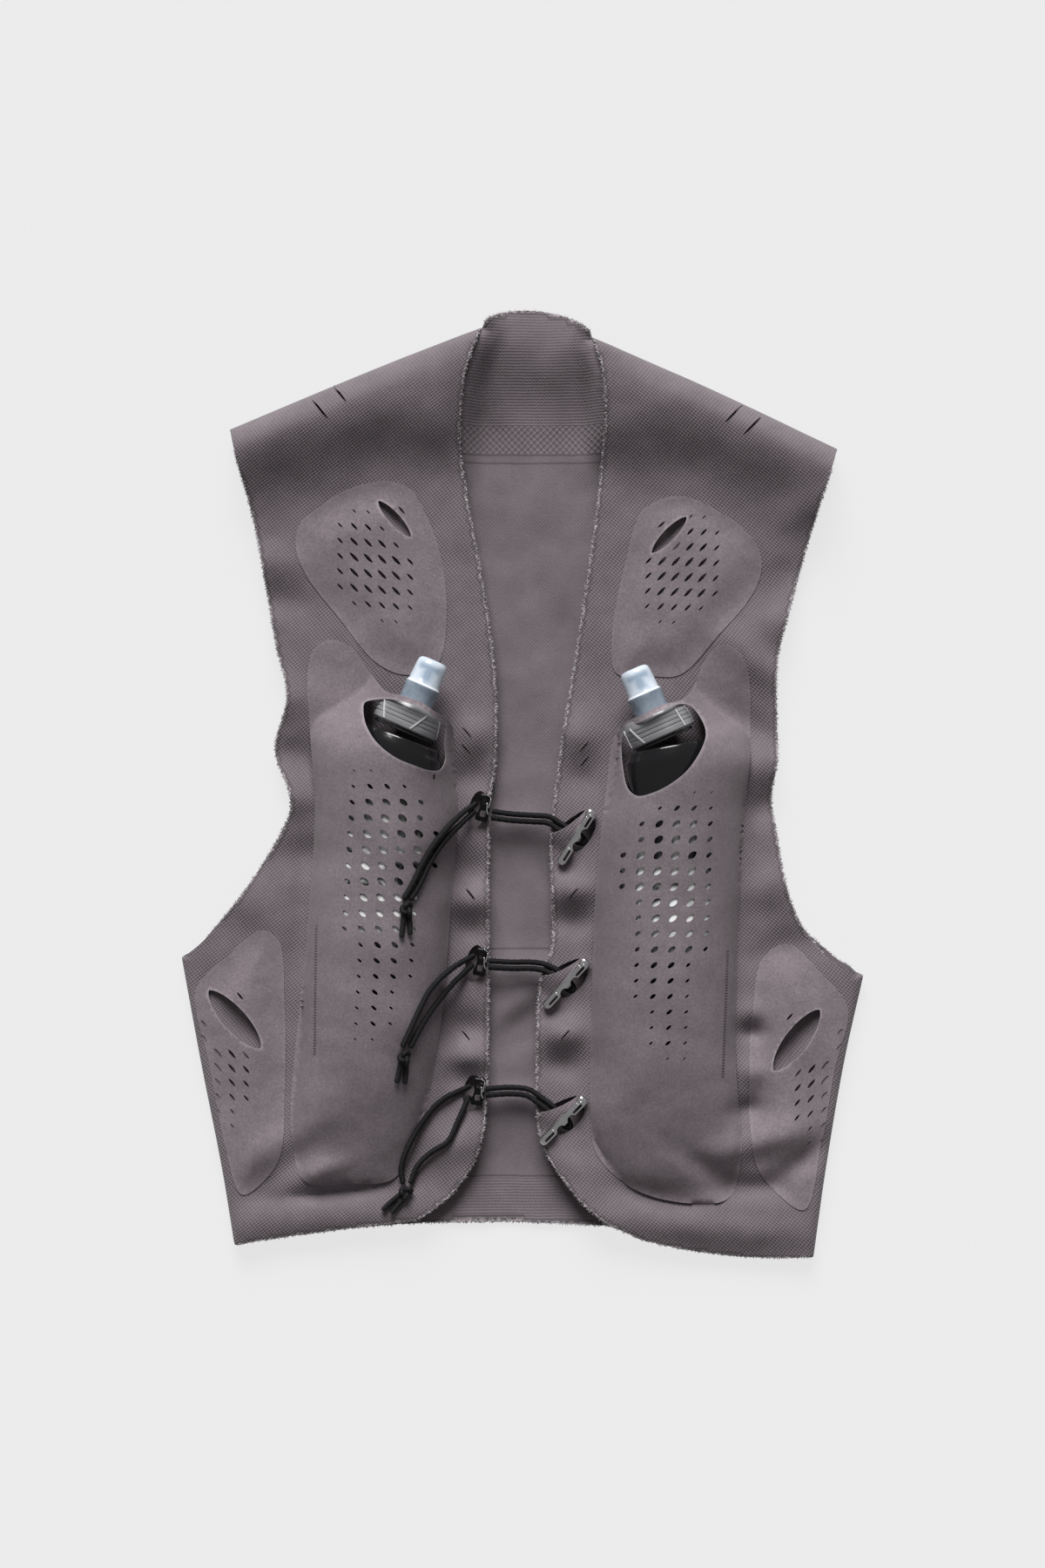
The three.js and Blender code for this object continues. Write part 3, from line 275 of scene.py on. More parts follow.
# Middle height of a layer: it rolls into the other one at a fold
def layerHeight(tree, x, y, level, extra):
    distance = tree.find((x, y, 0))[2]
    lift = neckLift(x, y)
    calm = 1 - cloth["neckCalm"] * min(lift / cloth["neckLift"], 1) if level > 0 else 1
    shares = []
    for reach in (cloth["roundFold"] + (lift if level < 0 else 0), cloth["softFold"]):
        inward = 1 - min(distance / reach, 1)
        shares.append(math.sqrt(1 - inward * inward))
    middle = (cloth["frontHeight"] + cloth["backHeight"]) / 2 + lift
    half = (cloth["frontHeight"] - cloth["backHeight"]) / 2
    return middle + shares[0] * level * half + shares[1] * extra * calm


frontLines = {name: outerLine(name) for name in sides}
frontTrees = {name: foldTree(line) for name, line in frontLines.items()}


def frontHeight(name, x, y):
    lift = foldHeight(x, y) + (bandLift(x, y) if name == "right" else 0)
    return layerHeight(frontTrees[name], x, y, 1, lift)


# Swell of the long pockets over their flasks: row y, outer foot, crest, inner foot, height, lean
outer, crest, inner, high, lean = 1, 2, 3, 4, 5
flaskPockets = {
    "left": {
        "outline": [(153, 93), (142, 104), (126, 100), (109, 79), (97, 66), (84, 62.5), (72, 58),
                    (62, 51.5), (54, 47), (50.5, 40), (50, 28), (48.5, 8), (47, -17), (52, -90),
                    (60, -178), (75, -252), (93, -285), (124, -289), (157, -287), (167, -253),
                    (156, -110), (150, -20)],
        "mouth": [(114, 52), (114, 57.5), (112.5, 59), (96.5, 60.6), (80, 57.2), (68, 52), (62, 47),
                  (56, 43.5), (55.4, 38), (56, 27), (55.6, 16.5), (59, 10.2), (66, 9.6), (76, 12.8),
                  (90.6, 19), (104.5, 30.5), (112, 43)],
        "swell": [(-289, 158, 124, 92, 2, 0), (-252, 166, 118, 77, 17, 0), (-189, 160, 108, 61, 35, 0),
                  (-126, 157, 103, 53, 43, 4), (-63, 152, 99, 51, 46, 7), (-19, 150, 96, 47, 49, 10),
                  (12, 156, 93, 49, 51, 16), (24, 149, 89, 50, 52, 20), (36, 135, 86, 51, 52, 22),
                  (48, 121, 82, 50, 51, 23), (62, 110, 78, 48, 50, 24), (80, 104, 76, 48, 2, 24)],
        "holes": {"out": 120, "y": 9.6, "columnOut": -12.2, "columnY": 0, "rowOut": 0.7, "rowY": -11.3},
        "head": (86, 37),
        "body": [(85, 33.2, 27.5, 23), (88.6, 24, 31, 24), (95, -6, 34, 23.6), (99.5, -56, 35, 22.2),
                 (102.5, -106, 35, 21.2), (105, -146, 31, 17.5), (107, -171, 20, 10), (107.5, -180, 8, 4)],
        "marks": [(148.4, -101.7), (149.6, -196.9)],
    },
    "right": {
        "outline": [(165, 44), (162, 84), (152, 99), (140, 99), (131, 88), (123, 69), (114, 60.5),
                    (97, 55.5), (85, 49), (72, 43), (66, 33), (60, -9), (53, -76), (50, -161), (49, -228),
                    (53, -266), (81, -293), (122, -303), (150, -299), (158, -270), (154, -203),
                    (156, -100), (161, -20)],
        "mouth": [(131, 35), (128, 47), (120, 56), (112, 57), (98, 52), (86, 45), (75, 39.5), (71.5, 30),
                  (72.5, 8), (75.5, -3.5), (82, -8.5), (92, -6.5), (106, 0.5), (120, 13)],
        "swell": [(-303, 148, 118, 84, 2, 0), (-252, 158, 102, 51, 20, 0), (-189, 154, 101, 50, 36, 0),
                  (-126, 155, 103, 50, 43, 4), (-63, 157, 105, 53, 46, 7), (-25, 160, 107, 56, 49, 10),
                  (4, 165, 108, 64, 51, 16), (18, 161, 105, 67, 52, 20), (30, 148, 102, 69, 52, 22),
                  (42, 136, 98, 70, 51, 23), (54, 126, 94, 69, 50, 24), (72, 120, 91, 67, 2, 24)],
        "holes": {"out": 134.8, "y": -6, "columnOut": -12.2, "columnY": 0, "rowOut": -0.4, "rowY": -11.2},
        "head": (102, 31),
        "body": [(103.8, 27.4, 27.5, 23), (105.5, 18, 31.5, 24), (108, -12, 31.5, 23.6),
                 (105.5, -62, 35, 22.2), (103.5, -112, 35, 21.2), (102, -152, 31, 17.5),
                 (101, -177, 20, 10), (100.8, -186, 8, 4)],
        "marks": [(147.7, -120), (144, -213.3)],
    },
}
pocketCloth = {
    "wall": 0.45, "lift": 0.25, "step": 2.5, "clear": 0.5, "edgeStep": 2.0, "edgeShares": (0.15, 1),
    "swellPower": 2.3, "swellRound": 0.75, "browRound": 1.3, "brow": (0, 40), "leanRounds": 8,
    "puffRun": (3, 30), "slotTaper": 0.35, "mouthCorners": 32, "tackCorners": 12,
    "dipAlong": 2, "dipAcross": 1.6,
}


def swellHeight(name, x, y):
    rows = flaskPockets[name]["swell"]
    out = sides[name]["sign"] * x
    row = y
    for i in range(pocketCloth["leanRounds"]):
        slant = math.tan(valueAt(rows, row, lean) * degrees)
        row = (row + y - slant * (out - valueAt(rows, row, crest))) / 2
    if row > rows[-1][0] or row < rows[0][0]:
        return 0
    top = valueAt(rows, row, crest)
    foot = valueAt(rows, row, outer if out > top else inner)
    share = min(abs((out - top) / (foot - top)), 1)
    brow = smooth(row, *pocketCloth["brow"]) if out > top else 0
    rounding = pocketCloth["swellRound"] + (pocketCloth["browRound"] - pocketCloth["swellRound"]) * brow
    fullness = (1 - share ** pocketCloth["swellPower"]) ** rounding
    return fullness * valueAt(rows, row, high)


# Middle height of a bonded panel on a front
def panelHeight(name, x, y):
    return frontHeight(name, x, y) + cloth["wall"] / 2 + pocketCloth["lift"] + pocketCloth["wall"] / 2


def clothTop(x, y):
    name = "left" if x < 0 else "right"
    return panelHeight(name, x, y) + pocketCloth["wall"] / 2 + swellHeight(name, x, y)


# Procedural finishes: a material with short ways to add its nodes
class Finish:
    def __init__(self, name):
        self.material = bpy.data.materials.new(name)
        self.material.use_nodes = True
        self.nodes = self.material.node_tree.nodes
        self.links = self.material.node_tree.links
        self.shader = self.nodes["Principled BSDF"]

    # A socket takes a number, a colour, a vector or another node's output
    def feed(self, socket, value):
        if isinstance(value, tuple):
            socket.default_value = (*value, 1) if socket.type == "RGBA" else value
        elif isinstance(value, (int, float)):
            socket.default_value = value
        else:
            self.links.new(value, socket)

    def add(self, kind, output, inputs=(), **settings):
        node = self.nodes.new("ShaderNode" + kind)
        for key, value in settings.items():
            setattr(node, key, value)
        for key, value in inputs:
            self.feed(node.inputs[key], value)
        return node.outputs[output]

    def place(self):
        return self.add("TexCoord", "Object")

    def attribute(self, name):
        return self.add("Attribute", "Fac", attribute_name=name)

    def axes(self, vector):
        node = self.nodes.new("ShaderNodeSeparateXYZ")
        self.feed(node.inputs[0], vector)
        return node.outputs

    def calc(self, operation, *values):
        return self.add("Math", 0, enumerate(values), operation=operation)

    def mix(self, share, first, second):
        return self.add("Mix", 2, ((0, share), (6, first), (7, second)), data_type="RGBA")

    def grain(self, vector, scale, detail=2.0, roughness=0.5, output="Fac"):
        inputs = (("Vector", vector), ("Scale", scale), ("Detail", detail), ("Roughness", roughness))
        return self.add("TexNoise", output, inputs)

    def spread(self, value, low, high):
        return self.add("MapRange", "Result", (("Value", value), ("From Min", low), ("From Max", high)))

    # Staggered dashes of a weave, mirrored on the two halves: pitch across and up in metres, and slant
    def weave(self, axes, across, up, slant=0.0):
        leaning = self.calc("MULTIPLY_ADD", axes["Y"], slant, self.calc("ABSOLUTE", axes["X"]))
        columns = self.calc("COSINE", self.calc("MULTIPLY", leaning, fullTurn / across))
        rows = self.calc("COSINE", self.calc("MULTIPLY", axes["Y"], fullTurn / up))
        return self.calc("MULTIPLY", columns, rows)

    def bump(self, height, strength, distance):
        inputs = (("Strength", strength), ("Distance", distance), ("Height", height))
        self.feed(self.shader.inputs["Normal"], self.add("Bump", "Normal", inputs))

    def surface(self, colour, values):
        self.feed(self.shader.inputs["Base Color"], colour)
        for key, value in values.items():
            self.feed(self.shader.inputs[key], value)


# Shell cloth; places and pitches of its patterns are in metres
shellLook = {
    "light": (0.220, 0.185, 0.203), "dark": (0.100, 0.084, 0.093), "inside": (0.207, 0.175, 0.191),
    "shade": (0.05, 0.042, 0.046), "threads": (0.35, 0.315, 0.33),
    "wobble": (90, 1), "wobbleShift": (0.0009, 0.0009, 0.0), "twill": (0.0030, 0.0028, 0.25),
    "knit": (0.0024, 0.0026), "knitDepth": 0.3, "dots": (0.0046, 0.0048), "dotsFrom": 0.240,
    "ribPitch": 0.0021, "ribDepth": 0.36, "ribsFrom": 0.260, "hemRibs": -0.284,
    "lines": (0.239, 0.233, -0.119, -0.284), "lineHalf": 0.0007, "lineDepth": -1.6,
    "grain": (620, 3, 0.7), "grainDepth": 0.8, "patches": (60, 3), "patchShare": 0.8,
    "weaveShare": 0.28, "tone": (0.15, 1.65), "insideShare": 0.45, "insideTone": (0.15, 1.5),
    "besideEdge": (0.1, 0.35), "besideShare": 0.45, "cutEdge": (0.5, 0.8),
    "tufts": (300, 3, 0.7), "tuftRange": (0.44, 0.60), "bump": (0.5, 0.0005),
    "shader": {"Roughness": 0.92, "Specular IOR Level": 0.2, "Sheen Weight": 0.15, "Sheen Roughness": 0.5},
}


def shellCloth():
    look = shellLook
    finish = Finish("taupe woven cloth")
    place = finish.place()
    wobble = finish.grain(place, *look["wobble"], output="Color")
    shift = ((0, wobble), (1, look["wobbleShift"]), (2, place))
    axes = finish.axes(finish.add("VectorMath", 0, shift, operation="MULTIPLY_ADD"))
    y = axes["Y"]
    weave = finish.weave(axes, *look["twill"])
    # The inside of the back: ribs at collar and hem, a dotted band, and fine knit between
    isBack = finish.attribute("inside")
    wave = finish.calc("SINE", finish.calc("MULTIPLY", y, fullTurn / look["ribPitch"]))
    ribs = finish.calc("MULTIPLY", wave, look["ribDepth"])
    upper = finish.calc("GREATER_THAN", y, look["ribsFrom"])
    lower = finish.calc("LESS_THAN", y, look["hemRibs"])
    bandMask = finish.calc("SUBTRACT", finish.calc("GREATER_THAN", y, look["dotsFrom"]), upper)
    inside = finish.calc("MULTIPLY", finish.weave(axes, *look["knit"]), look["knitDepth"])
    inside = finish.calc("MULTIPLY_ADD", finish.weave(axes, *look["dots"]), bandMask, inside)
    inside = finish.calc("MULTIPLY_ADD", ribs, finish.calc("ADD", upper, lower), inside)
    for line in look["lines"]:
        off = finish.calc("ABSOLUTE", finish.calc("SUBTRACT", y, line))
        near = finish.calc("LESS_THAN", off, look["lineHalf"])
        inside = finish.calc("MULTIPLY_ADD", near, look["lineDepth"], inside)
    height = finish.calc("MULTIPLY_ADD", finish.calc("SUBTRACT", inside, weave), isBack, weave)
    grain = finish.grain(place, *look["grain"])
    mottle = finish.calc("MULTIPLY_ADD", finish.grain(place, *look["patches"]), look["patchShare"], grain)
    tone = finish.calc("MULTIPLY_ADD", height, look["weaveShare"], mottle)
    outside = finish.mix(finish.spread(tone, *look["tone"]), look["dark"], look["light"])
    tone = finish.calc("MULTIPLY_ADD", inside, look["insideShare"], mottle)
    within = finish.mix(finish.spread(tone, *look["insideTone"]), look["dark"], look["inside"])
    plain = finish.mix(isBack, outside, within)
    # Raw edges: pale broken threads along the cut, and a painted shade line just inside it
    edge = finish.attribute("edge")
    beside = finish.calc("MULTIPLY", finish.spread(edge, *look["besideEdge"]), look["besideShare"])
    shaded = finish.mix(beside, plain, look["shade"])
    tufts = finish.spread(finish.grain(place, *look["tufts"]), *look["tuftRange"])
    cutMask = finish.calc("MULTIPLY", finish.spread(edge, *look["cutEdge"]), tufts)
    finish.surface(finish.mix(cutMask, shaded, look["threads"]), look["shader"])
    finish.bump(finish.calc("MULTIPLY_ADD", grain, look["grainDepth"], height), *look["bump"])
    return finish.material


# Bonded panels, with a painted highlight along the lip of a mouth and, fainter, along the outline
panelLook = {
    "light": (0.255, 0.214, 0.235), "dark": (0.115, 0.096, 0.106), "pale": (0.40, 0.35, 0.375), "paintedEdgeLight": 0.55,
    "speckle": (620, 3, 0.75), "cloud": (110, 3, 0.6), "cloudShare": 0.3, "tone": (0.33, 0.97),
    "fine": (2600, 2), "fineShare": 0.6, "bump": (0.3, 0.00025),
    "shader": {"Roughness": 0.82, "Specular IOR Level": 0.25, "Sheen Weight": 0.12, "Sheen Roughness": 0.4},
}


def panelCloth():
    look = panelLook
    finish = Finish("taupe bonded knit")
    place = finish.place()
    speckle = finish.grain(place, *look["speckle"])
    blend = finish.calc("MULTIPLY_ADD", finish.grain(place, *look["cloud"]), look["cloudShare"], speckle)
    plain = finish.mix(finish.spread(blend, *look["tone"]), look["dark"], look["light"])
    # painted highlight: paler cloth along the cut edges, strongest at the mouths
    paintedEdgeLight = finish.calc("MULTIPLY", finish.attribute("edge"), look["paintedEdgeLight"])
    finish.surface(finish.mix(paintedEdgeLight, plain, look["pale"]), look["shader"])
    relief = finish.calc("MULTIPLY_ADD", finish.grain(place, *look["fine"]), look["fineShare"], speckle)
    finish.bump(relief, *look["bump"])
    return finish.material


# Braided cord: crossing strands along the cord's own UV map, with a few pale threads
braidLook = {
    "dark": (0.004, 0.004, 0.005), "pale": (0.055, 0.056, 0.062), "around": 4, "along": 5,
    "fleck": (0.55, 0.95), "wear": (3.0, 3), "bump": (0.6, 0.0003),
    "shader": {"Roughness": 0.6, "Specular IOR Level": 0.25},
}


def cordBraid():
    look = braidLook
    finish = Finish("black braid")
    place = finish.add("UVMap", "UV", uv_map="braid")
    axes = finish.axes(place)
    around = finish.calc("MULTIPLY", axes["X"], fullTurn * look["around"])
    along = finish.calc("MULTIPLY", axes["Y"], fullTurn * look["along"])
    one = finish.calc("SINE", finish.calc("ADD", around, along))
    two = finish.calc("SINE", finish.calc("SUBTRACT", around, along))
    fleck = finish.spread(finish.calc("MULTIPLY", one, two), *look["fleck"])
    amount = finish.calc("MULTIPLY", fleck, finish.grain(place, *look["wear"]))
    finish.surface(finish.mix(amount, look["dark"], look["pale"]), look["shader"])
    finish.bump(finish.calc("MAXIMUM", one, two), *look["bump"])
    return finish.material


# Flask film: dark and glossy, with a painted white reflection in a band across the middle of the flask
filmLook = {
    "dark": (0.008, 0.008, 0.009), "paintedReflection": (0.88, 0.89, 0.88), "paintedReflectionFrom": (-0.128, -0.128 + 0.03),
    "paintedReflectionTo": (-0.008, -0.008 - 0.02), "cloud": (45, 2), "cloudRange": (0.36, 0.50), "crease": (120, 3),
    "bump": (0.25, 0.0006), "shader": {"Roughness": 0.16},
}


def smokeFilm():
    look = filmLook
    finish = Finish("smoky film")
    place = finish.place()
    y = finish.axes(place)["Y"]
    # painted reflection: a pale clouded band across the middle of the film
    low, top = finish.spread(y, *look["paintedReflectionFrom"]), finish.spread(y, *look["paintedReflectionTo"])
    paintedReflectionBand = finish.calc("MULTIPLY", low, top)
    cloud = finish.spread(finish.grain(place, *look["cloud"]), *look["cloudRange"])
    paintedReflection = finish.calc("MULTIPLY", paintedReflectionBand, cloud)
    finish.surface(finish.mix(paintedReflection, look["dark"], look["paintedReflection"]), look["shader"])
    finish.bump(finish.grain(place, *look["crease"]), *look["bump"])
    return finish.material


# Silicone valve: its map holds millimetres aside from and along its axis; painted shade darkens it below the
# joint, and a white line at the joint is a painted highlight
valveLook = {
    "pale": ((0.52, 0.61, 0.72), (0.86, 0.92, 0.98)), "deep": ((0.15, 0.19, 0.24), (0.40, 0.47, 0.55)),
    "core": (0.36, 0.45, 0.56), "jointColour": (0.95, 0.97, 1.0),
    "stemAside": (5.6, 1.6), "stemAlong": (37, 42), "crossAside": (9.6, 6.6), "crossAlong": (46, 49),
    "coreTop": (53.4, 50.6), "paintedShadeRun": (37.4, 36.2), "jointAt": 37.4, "joint": (0.9, 0.3),
    "cloud": (160, 3), "bump": (0.15, 0.0005),
    "shader": {"Roughness": 0.2, "Transmission Weight": 0.2, "IOR": 1.4},
}


def clearSilicone():
    look = valveLook
    finish = Finish("pale blue silicone")
    axes = finish.axes(finish.add("UVMap", "UV", uv_map="valve"))
    aside = finish.calc("ABSOLUTE", axes["X"])
    along = axes["Y"]
    cores = []
    for part in ("stem", "cross"):
        narrow = finish.spread(aside, *look[part + "Aside"])
        cores.append(finish.calc("MULTIPLY", narrow, finish.spread(along, *look[part + "Along"])))
    core = finish.calc("MULTIPLY", finish.calc("MAXIMUM", *cores), finish.spread(along, *look["coreTop"]))
    cloud = finish.grain(finish.place(), *look["cloud"])
    upper = finish.mix(core, finish.mix(cloud, *look["pale"]), look["core"])
    # painted shade: the part below the joint gets darker colours
    deep = finish.mix(cloud, *look["deep"])
    body = finish.mix(finish.spread(along, *look["paintedShadeRun"]), upper, deep)
    # painted highlight: a thin white line along the joint
    off = finish.calc("ABSOLUTE", finish.calc("SUBTRACT", along, look["jointAt"]))
    joint = finish.spread(off, *look["joint"])
    finish.surface(finish.mix(joint, body, look["jointColour"]), look["shader"])
    finish.bump(cloud, *look["bump"])
    return finish.material


# Plain finishes: two colours mixed by a grain; with gloss the grain also sets the roughness
plainLooks = {
    "fray": {
        "name": "pale cut threads", "dark": (0.10, 0.085, 0.095), "light": (0.56, 0.51, 0.54),
        "grain": (500, 2), "tone": (0.32, 0.62), "shader": {"Roughness": 0.9, "Sheen Weight": 0.3}},
    "ink": {
        "name": "dark print", "dark": (0.03, 0.024, 0.028), "light": (0.10, 0.083, 0.092),
        "grain": (900, 2), "shader": {"Roughness": 0.8}},
    "bright_metal": {
        "name": "polished steel", "dark": (0.76, 0.76, 0.765), "light": (0.96, 0.96, 0.965),
        "grain": (260, 4, 0.6), "gloss": (-0.4, 4.6), "bump": (0.08, 0.0002), "shader": {"Metallic": 1}},
    "dark_metal": {
        "name": "dark plated steel", "dark": (0.008, 0.008, 0.009), "light": (0.03, 0.03, 0.032),
        "grain": (500, 3), "bump": (0.1, 0.0002), "shader": {"Metallic": 0.9, "Roughness": 0.28}},
    "black_plastic": {
        "name": "black satin plastic", "dark": (0.006, 0.006, 0.007), "light": (0.018, 0.018, 0.02),
        "grain": (1800, 2), "bump": (0.1, 0.0002), "shader": {"Roughness": 0.4}},
    "smoke_plastic": {
        "name": "smoky translucent plastic", "dark": (0.19, 0.19, 0.20), "light": (0.36, 0.36, 0.375),
        "grain": (70, 3), "relief": (1500, 2), "bump": (0.06, 0.0002),
        "shader": {"Roughness": 0.32, "Transmission Weight": 0.18, "Coat Weight": 0.4,
                   "Coat Roughness": 0.2}},
    # painted highlight: the cap's ribs are made paler than the cap's plastic
    "rib_highlight": {
        "name": "painted highlight on cap ribs", "dark": (0.34, 0.34, 0.35), "light": (0.72, 0.72, 0.74),
        "grain": (300, 2), "shader": {"Roughness": 0.3}},
}


def plainFinish(look):
    finish = Finish(look["name"])
    place = finish.place()
    grain = finish.grain(place, *look["grain"])
    tone = finish.spread(grain, *look["tone"]) if "tone" in look else grain
    finish.surface(finish.mix(tone, look["dark"], look["light"]), look["shader"])
    if "gloss" in look:
        finish.feed(finish.shader.inputs["Roughness"], finish.spread(grain, *look["gloss"]))
    if "bump" in look:
        finish.bump(finish.grain(place, *look["relief"]) if "relief" in look else grain, *look["bump"])
    return finish.material


finishes = {
    "shell_cloth": shellCloth(), "pocket_cloth": panelCloth(), "black_cord": cordBraid(),
    "smoke_film": smokeFilm(), "clear_silicone": clearSilicone(),
}
for slot, look in plainLooks.items():
    finishes[slot] = plainFinish(look)
print("finishes made:", len(finishes))


# A finished piece: on the body, in its slot, standing for its node
def settle(piece, slot, *nodeNames):
    if not piece.data.materials:
        piece.data.materials.append(finishes[slot])
    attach(piece, "root")
    if nodeNames:
        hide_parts(*nodeNames)


def meshPiece(name, verts, faces, smoothFaces=True):
    mesh = bpy.data.meshes.new(name)
    mesh.from_pydata([tuple(c * mm for c in v) for v in verts], [], faces)
    mesh.validate()
    if smoothFaces:
        mesh.polygons.foreach_set("use_smooth", [True] * len(mesh.polygons))
    piece = bpy.data.objects.new(name, mesh)
    bpy.context.scene.collection.objects.link(piece)
    return piece


def pickOnly(piece):
    bpy.ops.object.select_all(action="DESELECT")
    piece.select_set(True)
    bpy.context.view_layer.objects.active = piece


def smoothUnder(piece, angle):
    pickOnly(piece)
    bpy.ops.object.shade_smooth_by_angle(angle=angle * degrees)


# Cords: centre lines repeat the routes of the model, laid on the cloth
cord = {"diameter": 4.0, "spread": 2.3, "gap": 0.5, "sides": 14, "ring": 0.9, "endShare": 0.72,
        "braid": 0.05, "braidPitch": 5.0, "braidStrands": 3, "feelers": 8, "feelAt": (0.6, 0.95),
        "easing": 40, "tailPieces": 4}
closures = [
    {"toggle": (39, -38.4, 57.5), "lock": (-28, -17, 78),
     "loop": [(-22.5, -22, 18.6), (-8, -24, 17.8), (8, -25, 17.8), (19, -26, 18.2)],
     "tails": [[(-33.6, -14), (-45, -22.5), (-59.5, -38), (-69.8, -53.5), (-78.1, -70.5), (-84.8, -82)],
               [(-34.2, -19.5), (-42, -26.5), (-55.8, -41), (-65.6, -55.7), (-73.7, -72.5),
                (-79.8, -82.5)]],
     "knot": (-82.5, -89.3, 268), "ends": [(-3, 20), (3, 18)]},
    {"toggle": (31.5, -144.3, 47.3), "lock": (-30, -128.5, 80),
     "loop": [(-24.5, -130, 18.6), (-8, -131, 17.8), (6, -131, 17.8), (14, -132, 18.2)],
     "tails": [[(-34.8, -123.6), (-49.5, -132), (-65, -146), (-73.5, -161), (-80.5, -176), (-86, -188)],
               [(-35.6, -130), (-52, -146), (-67, -165), (-74.7, -178), (-80.5, -189)]],
     "knot": (-84.5, -195.8, 262), "ends": [(-3, 19), (3, 19)]},
    {"toggle": (29.3, -243.2, 45.5), "lock": (-32, -222, 82),
     "loop": [(-26.5, -222.5, 18.6), (-8, -221.5, 17.8), (4, -223, 17.8), (12, -228, 18.2)],
     "tails": [[(-37.4, -218), (-59, -229), (-73.5, -246), (-83, -263), (-87.5, -277), (-86.5, -288.5)],
               [(-38.4, -225), (-46, -242), (-54, -258), (-66, -266), (-76, -276), (-81, -288.5)]],
     "knot": (-84.5, -294.8, 226), "ends": [(-3, 21), (3, 18)]},
]


# Round tube along a path, narrower at its ends, with braid ridges; its UV map runs round and along it
def tubeMesh(paths, radius):
    verts, faces, maps = [], [], []
    sideCount = cord["sides"]
    for path in paths:
        points = [Vector(p) for p in evenly(path, cord["ring"], 3)]
        last = len(points) - 1
        tangents = []
        for i in range(len(points)):
            tangents.append((points[min(i + 1, last)] - points[max(i - 1, 0)]).normalized())
        normal = tangents[0].orthogonal().normalized()
        travelled = 0.0
        rings = []
        for i, (point, tangent) in enumerate(zip(points, tangents)):
            if i:
                travelled += (point - points[i - 1]).length
                normal = (normal - tangent * normal.dot(tangent)).normalized()
            across = tangent.cross(normal)
            turn = travelled * 2 * math.pi / cord["braidPitch"]
            ring = []
            for k in range(sideCount):
                angle = fullTurn * k / sideCount
                twist = cord["braidStrands"] * angle
                ridge = max(math.sin(turn + twist), math.sin(turn - twist))
                reach = radius * (1 + cord["braid"] * ridge) * (cord["endShare"] if i in (0, last) else 1)
                ring.append(len(verts))
                verts.append(point + (normal * math.cos(angle) + across * math.sin(angle)) * reach)
                maps.append((k / sideCount, travelled / cord["braidPitch"]))
            rings.append(ring)
        for lower, upper in zip(rings, rings[1:]):
            for k in range(sideCount):
                n = (k + 1) % sideCount
                faces.append((lower[k], lower[n], upper[n], upper[k]))
        faces.append(tuple(reversed(rings[0])))
        faces.append(tuple(rings[-1]))
    return verts, faces, maps


def tubePiece(name, paths, radius):
    verts, faces, maps = tubeMesh(paths, radius)
    piece = meshPiece(name, verts, faces)
    layer = piece.data.uv_layers.new(name="braid")
    for polygon in piece.data.polygons:
        wraps = max(maps[v][0] for v in polygon.vertices) - min(maps[v][0] for v in polygon.vertices) > 0.5
        for loop, v in zip(polygon.loop_indices, polygon.vertices):
            u, along = maps[v]
            layer.data[loop].uv = (u + 1 if wraps and u < 0.5 else u, along)
    return piece


def barPlace(bar, along, across):
    return placed(*bar, along, -across)


def barSpot(bar, x, y):
    along, across = turnedSpot(x, y, *bar)
    return along, -across


# Beside each toggle a band of the right front arches over the cord, from a slit to a hollow under the bar
band = {"from": -6.5, "to": 20, "across": -12.9, "slope": 0.39, "open": 3.0, "corners": 26, "taper": 0.3,
        "middle": 3, "reach": 17, "rise": 7, "fade": (-4, 3)}
hollow = {"along": 4, "across": 3.8, "long": 27, "wide": 11, "corners": 28}


def slitAcross(along):
    return band["across"] + band["slope"] * along


def bandLift(x, y):
    lift = 0
    for closure in closures:
        along, across = barSpot(closure["toggle"], x, y)
        share = (along - band["middle"]) / band["reach"]
        if abs(share) < 1 and across > slitAcross(along):
            lift += band["rise"] * (1 - share * share) * (1 - smooth(across, *band["fade"]))
    return lift


# The loop's way in under a toggle: distance across the bar and height over the turn's level
loopTurn = {"level": 13.1, "way": [(-14, 5), (-9.5, 3.2), (-5, 0), (4, 0)], "bend": 1}


def loopPath(closure):
    bar = closure["toggle"]
    level = loopTurn["level"]
    middle = [Vector(p) for p in closure["loop"]]
    middle += [Vector((*barPlace(bar, 0, across), level + rise)) for across, rise in loopTurn["way"]]
    legs = [[], []]
    for i, point in enumerate(middle):
        before = middle[max(i - 1, 0)]
        after = middle[min(i + 1, len(middle) - 1)]
        away = Vector((before.y - after.y, after.x - before.x, 0)).normalized()
        for leg, turn in zip(legs, (1, -1)):
            leg.append(point + away * turn * cord["spread"])
    end = loopTurn["way"][-1][0] + cord["spread"] + loopTurn["bend"]
    bend = Vector((*barPlace(bar, 0, end), level))
    return throughPoints(legs[0] + [bend] + legs[1][::-1])


# Height of a cord's middle where it lies on the cloth, felt all round it
def restHeight(x, y):
    radius = cord["diameter"] / 2 + cord["gap"]
    height = clothTop(x, y) + radius
    for i in range(cord["feelers"]):
        angle = fullTurn * i / cord["feelers"]
        for share in cord["feelAt"]:
            aside = radius * share
            top = clothTop(x + aside * math.cos(angle), y + aside * math.sin(angle))
            height = max(height, top + radius * math.sqrt(1 - share * share))
    return height


def tailPath(points):
    route = evenly(throughPoints([(x, y, 0) for x, y in points]), cord["diameter"] / 2)
    heights = [restHeight(x, y) for x, y, z in route]
    for turn in range(cord["easing"]):
        for i in range(1, len(heights) - 1):
            heights[i] = max(heights[i], (heights[i - 1] + heights[i + 1]) / 2)
    return throughPoints([(x, y, z) for (x, y, _), z in zip(route, heights)], pieces=cord["tailPieces"])


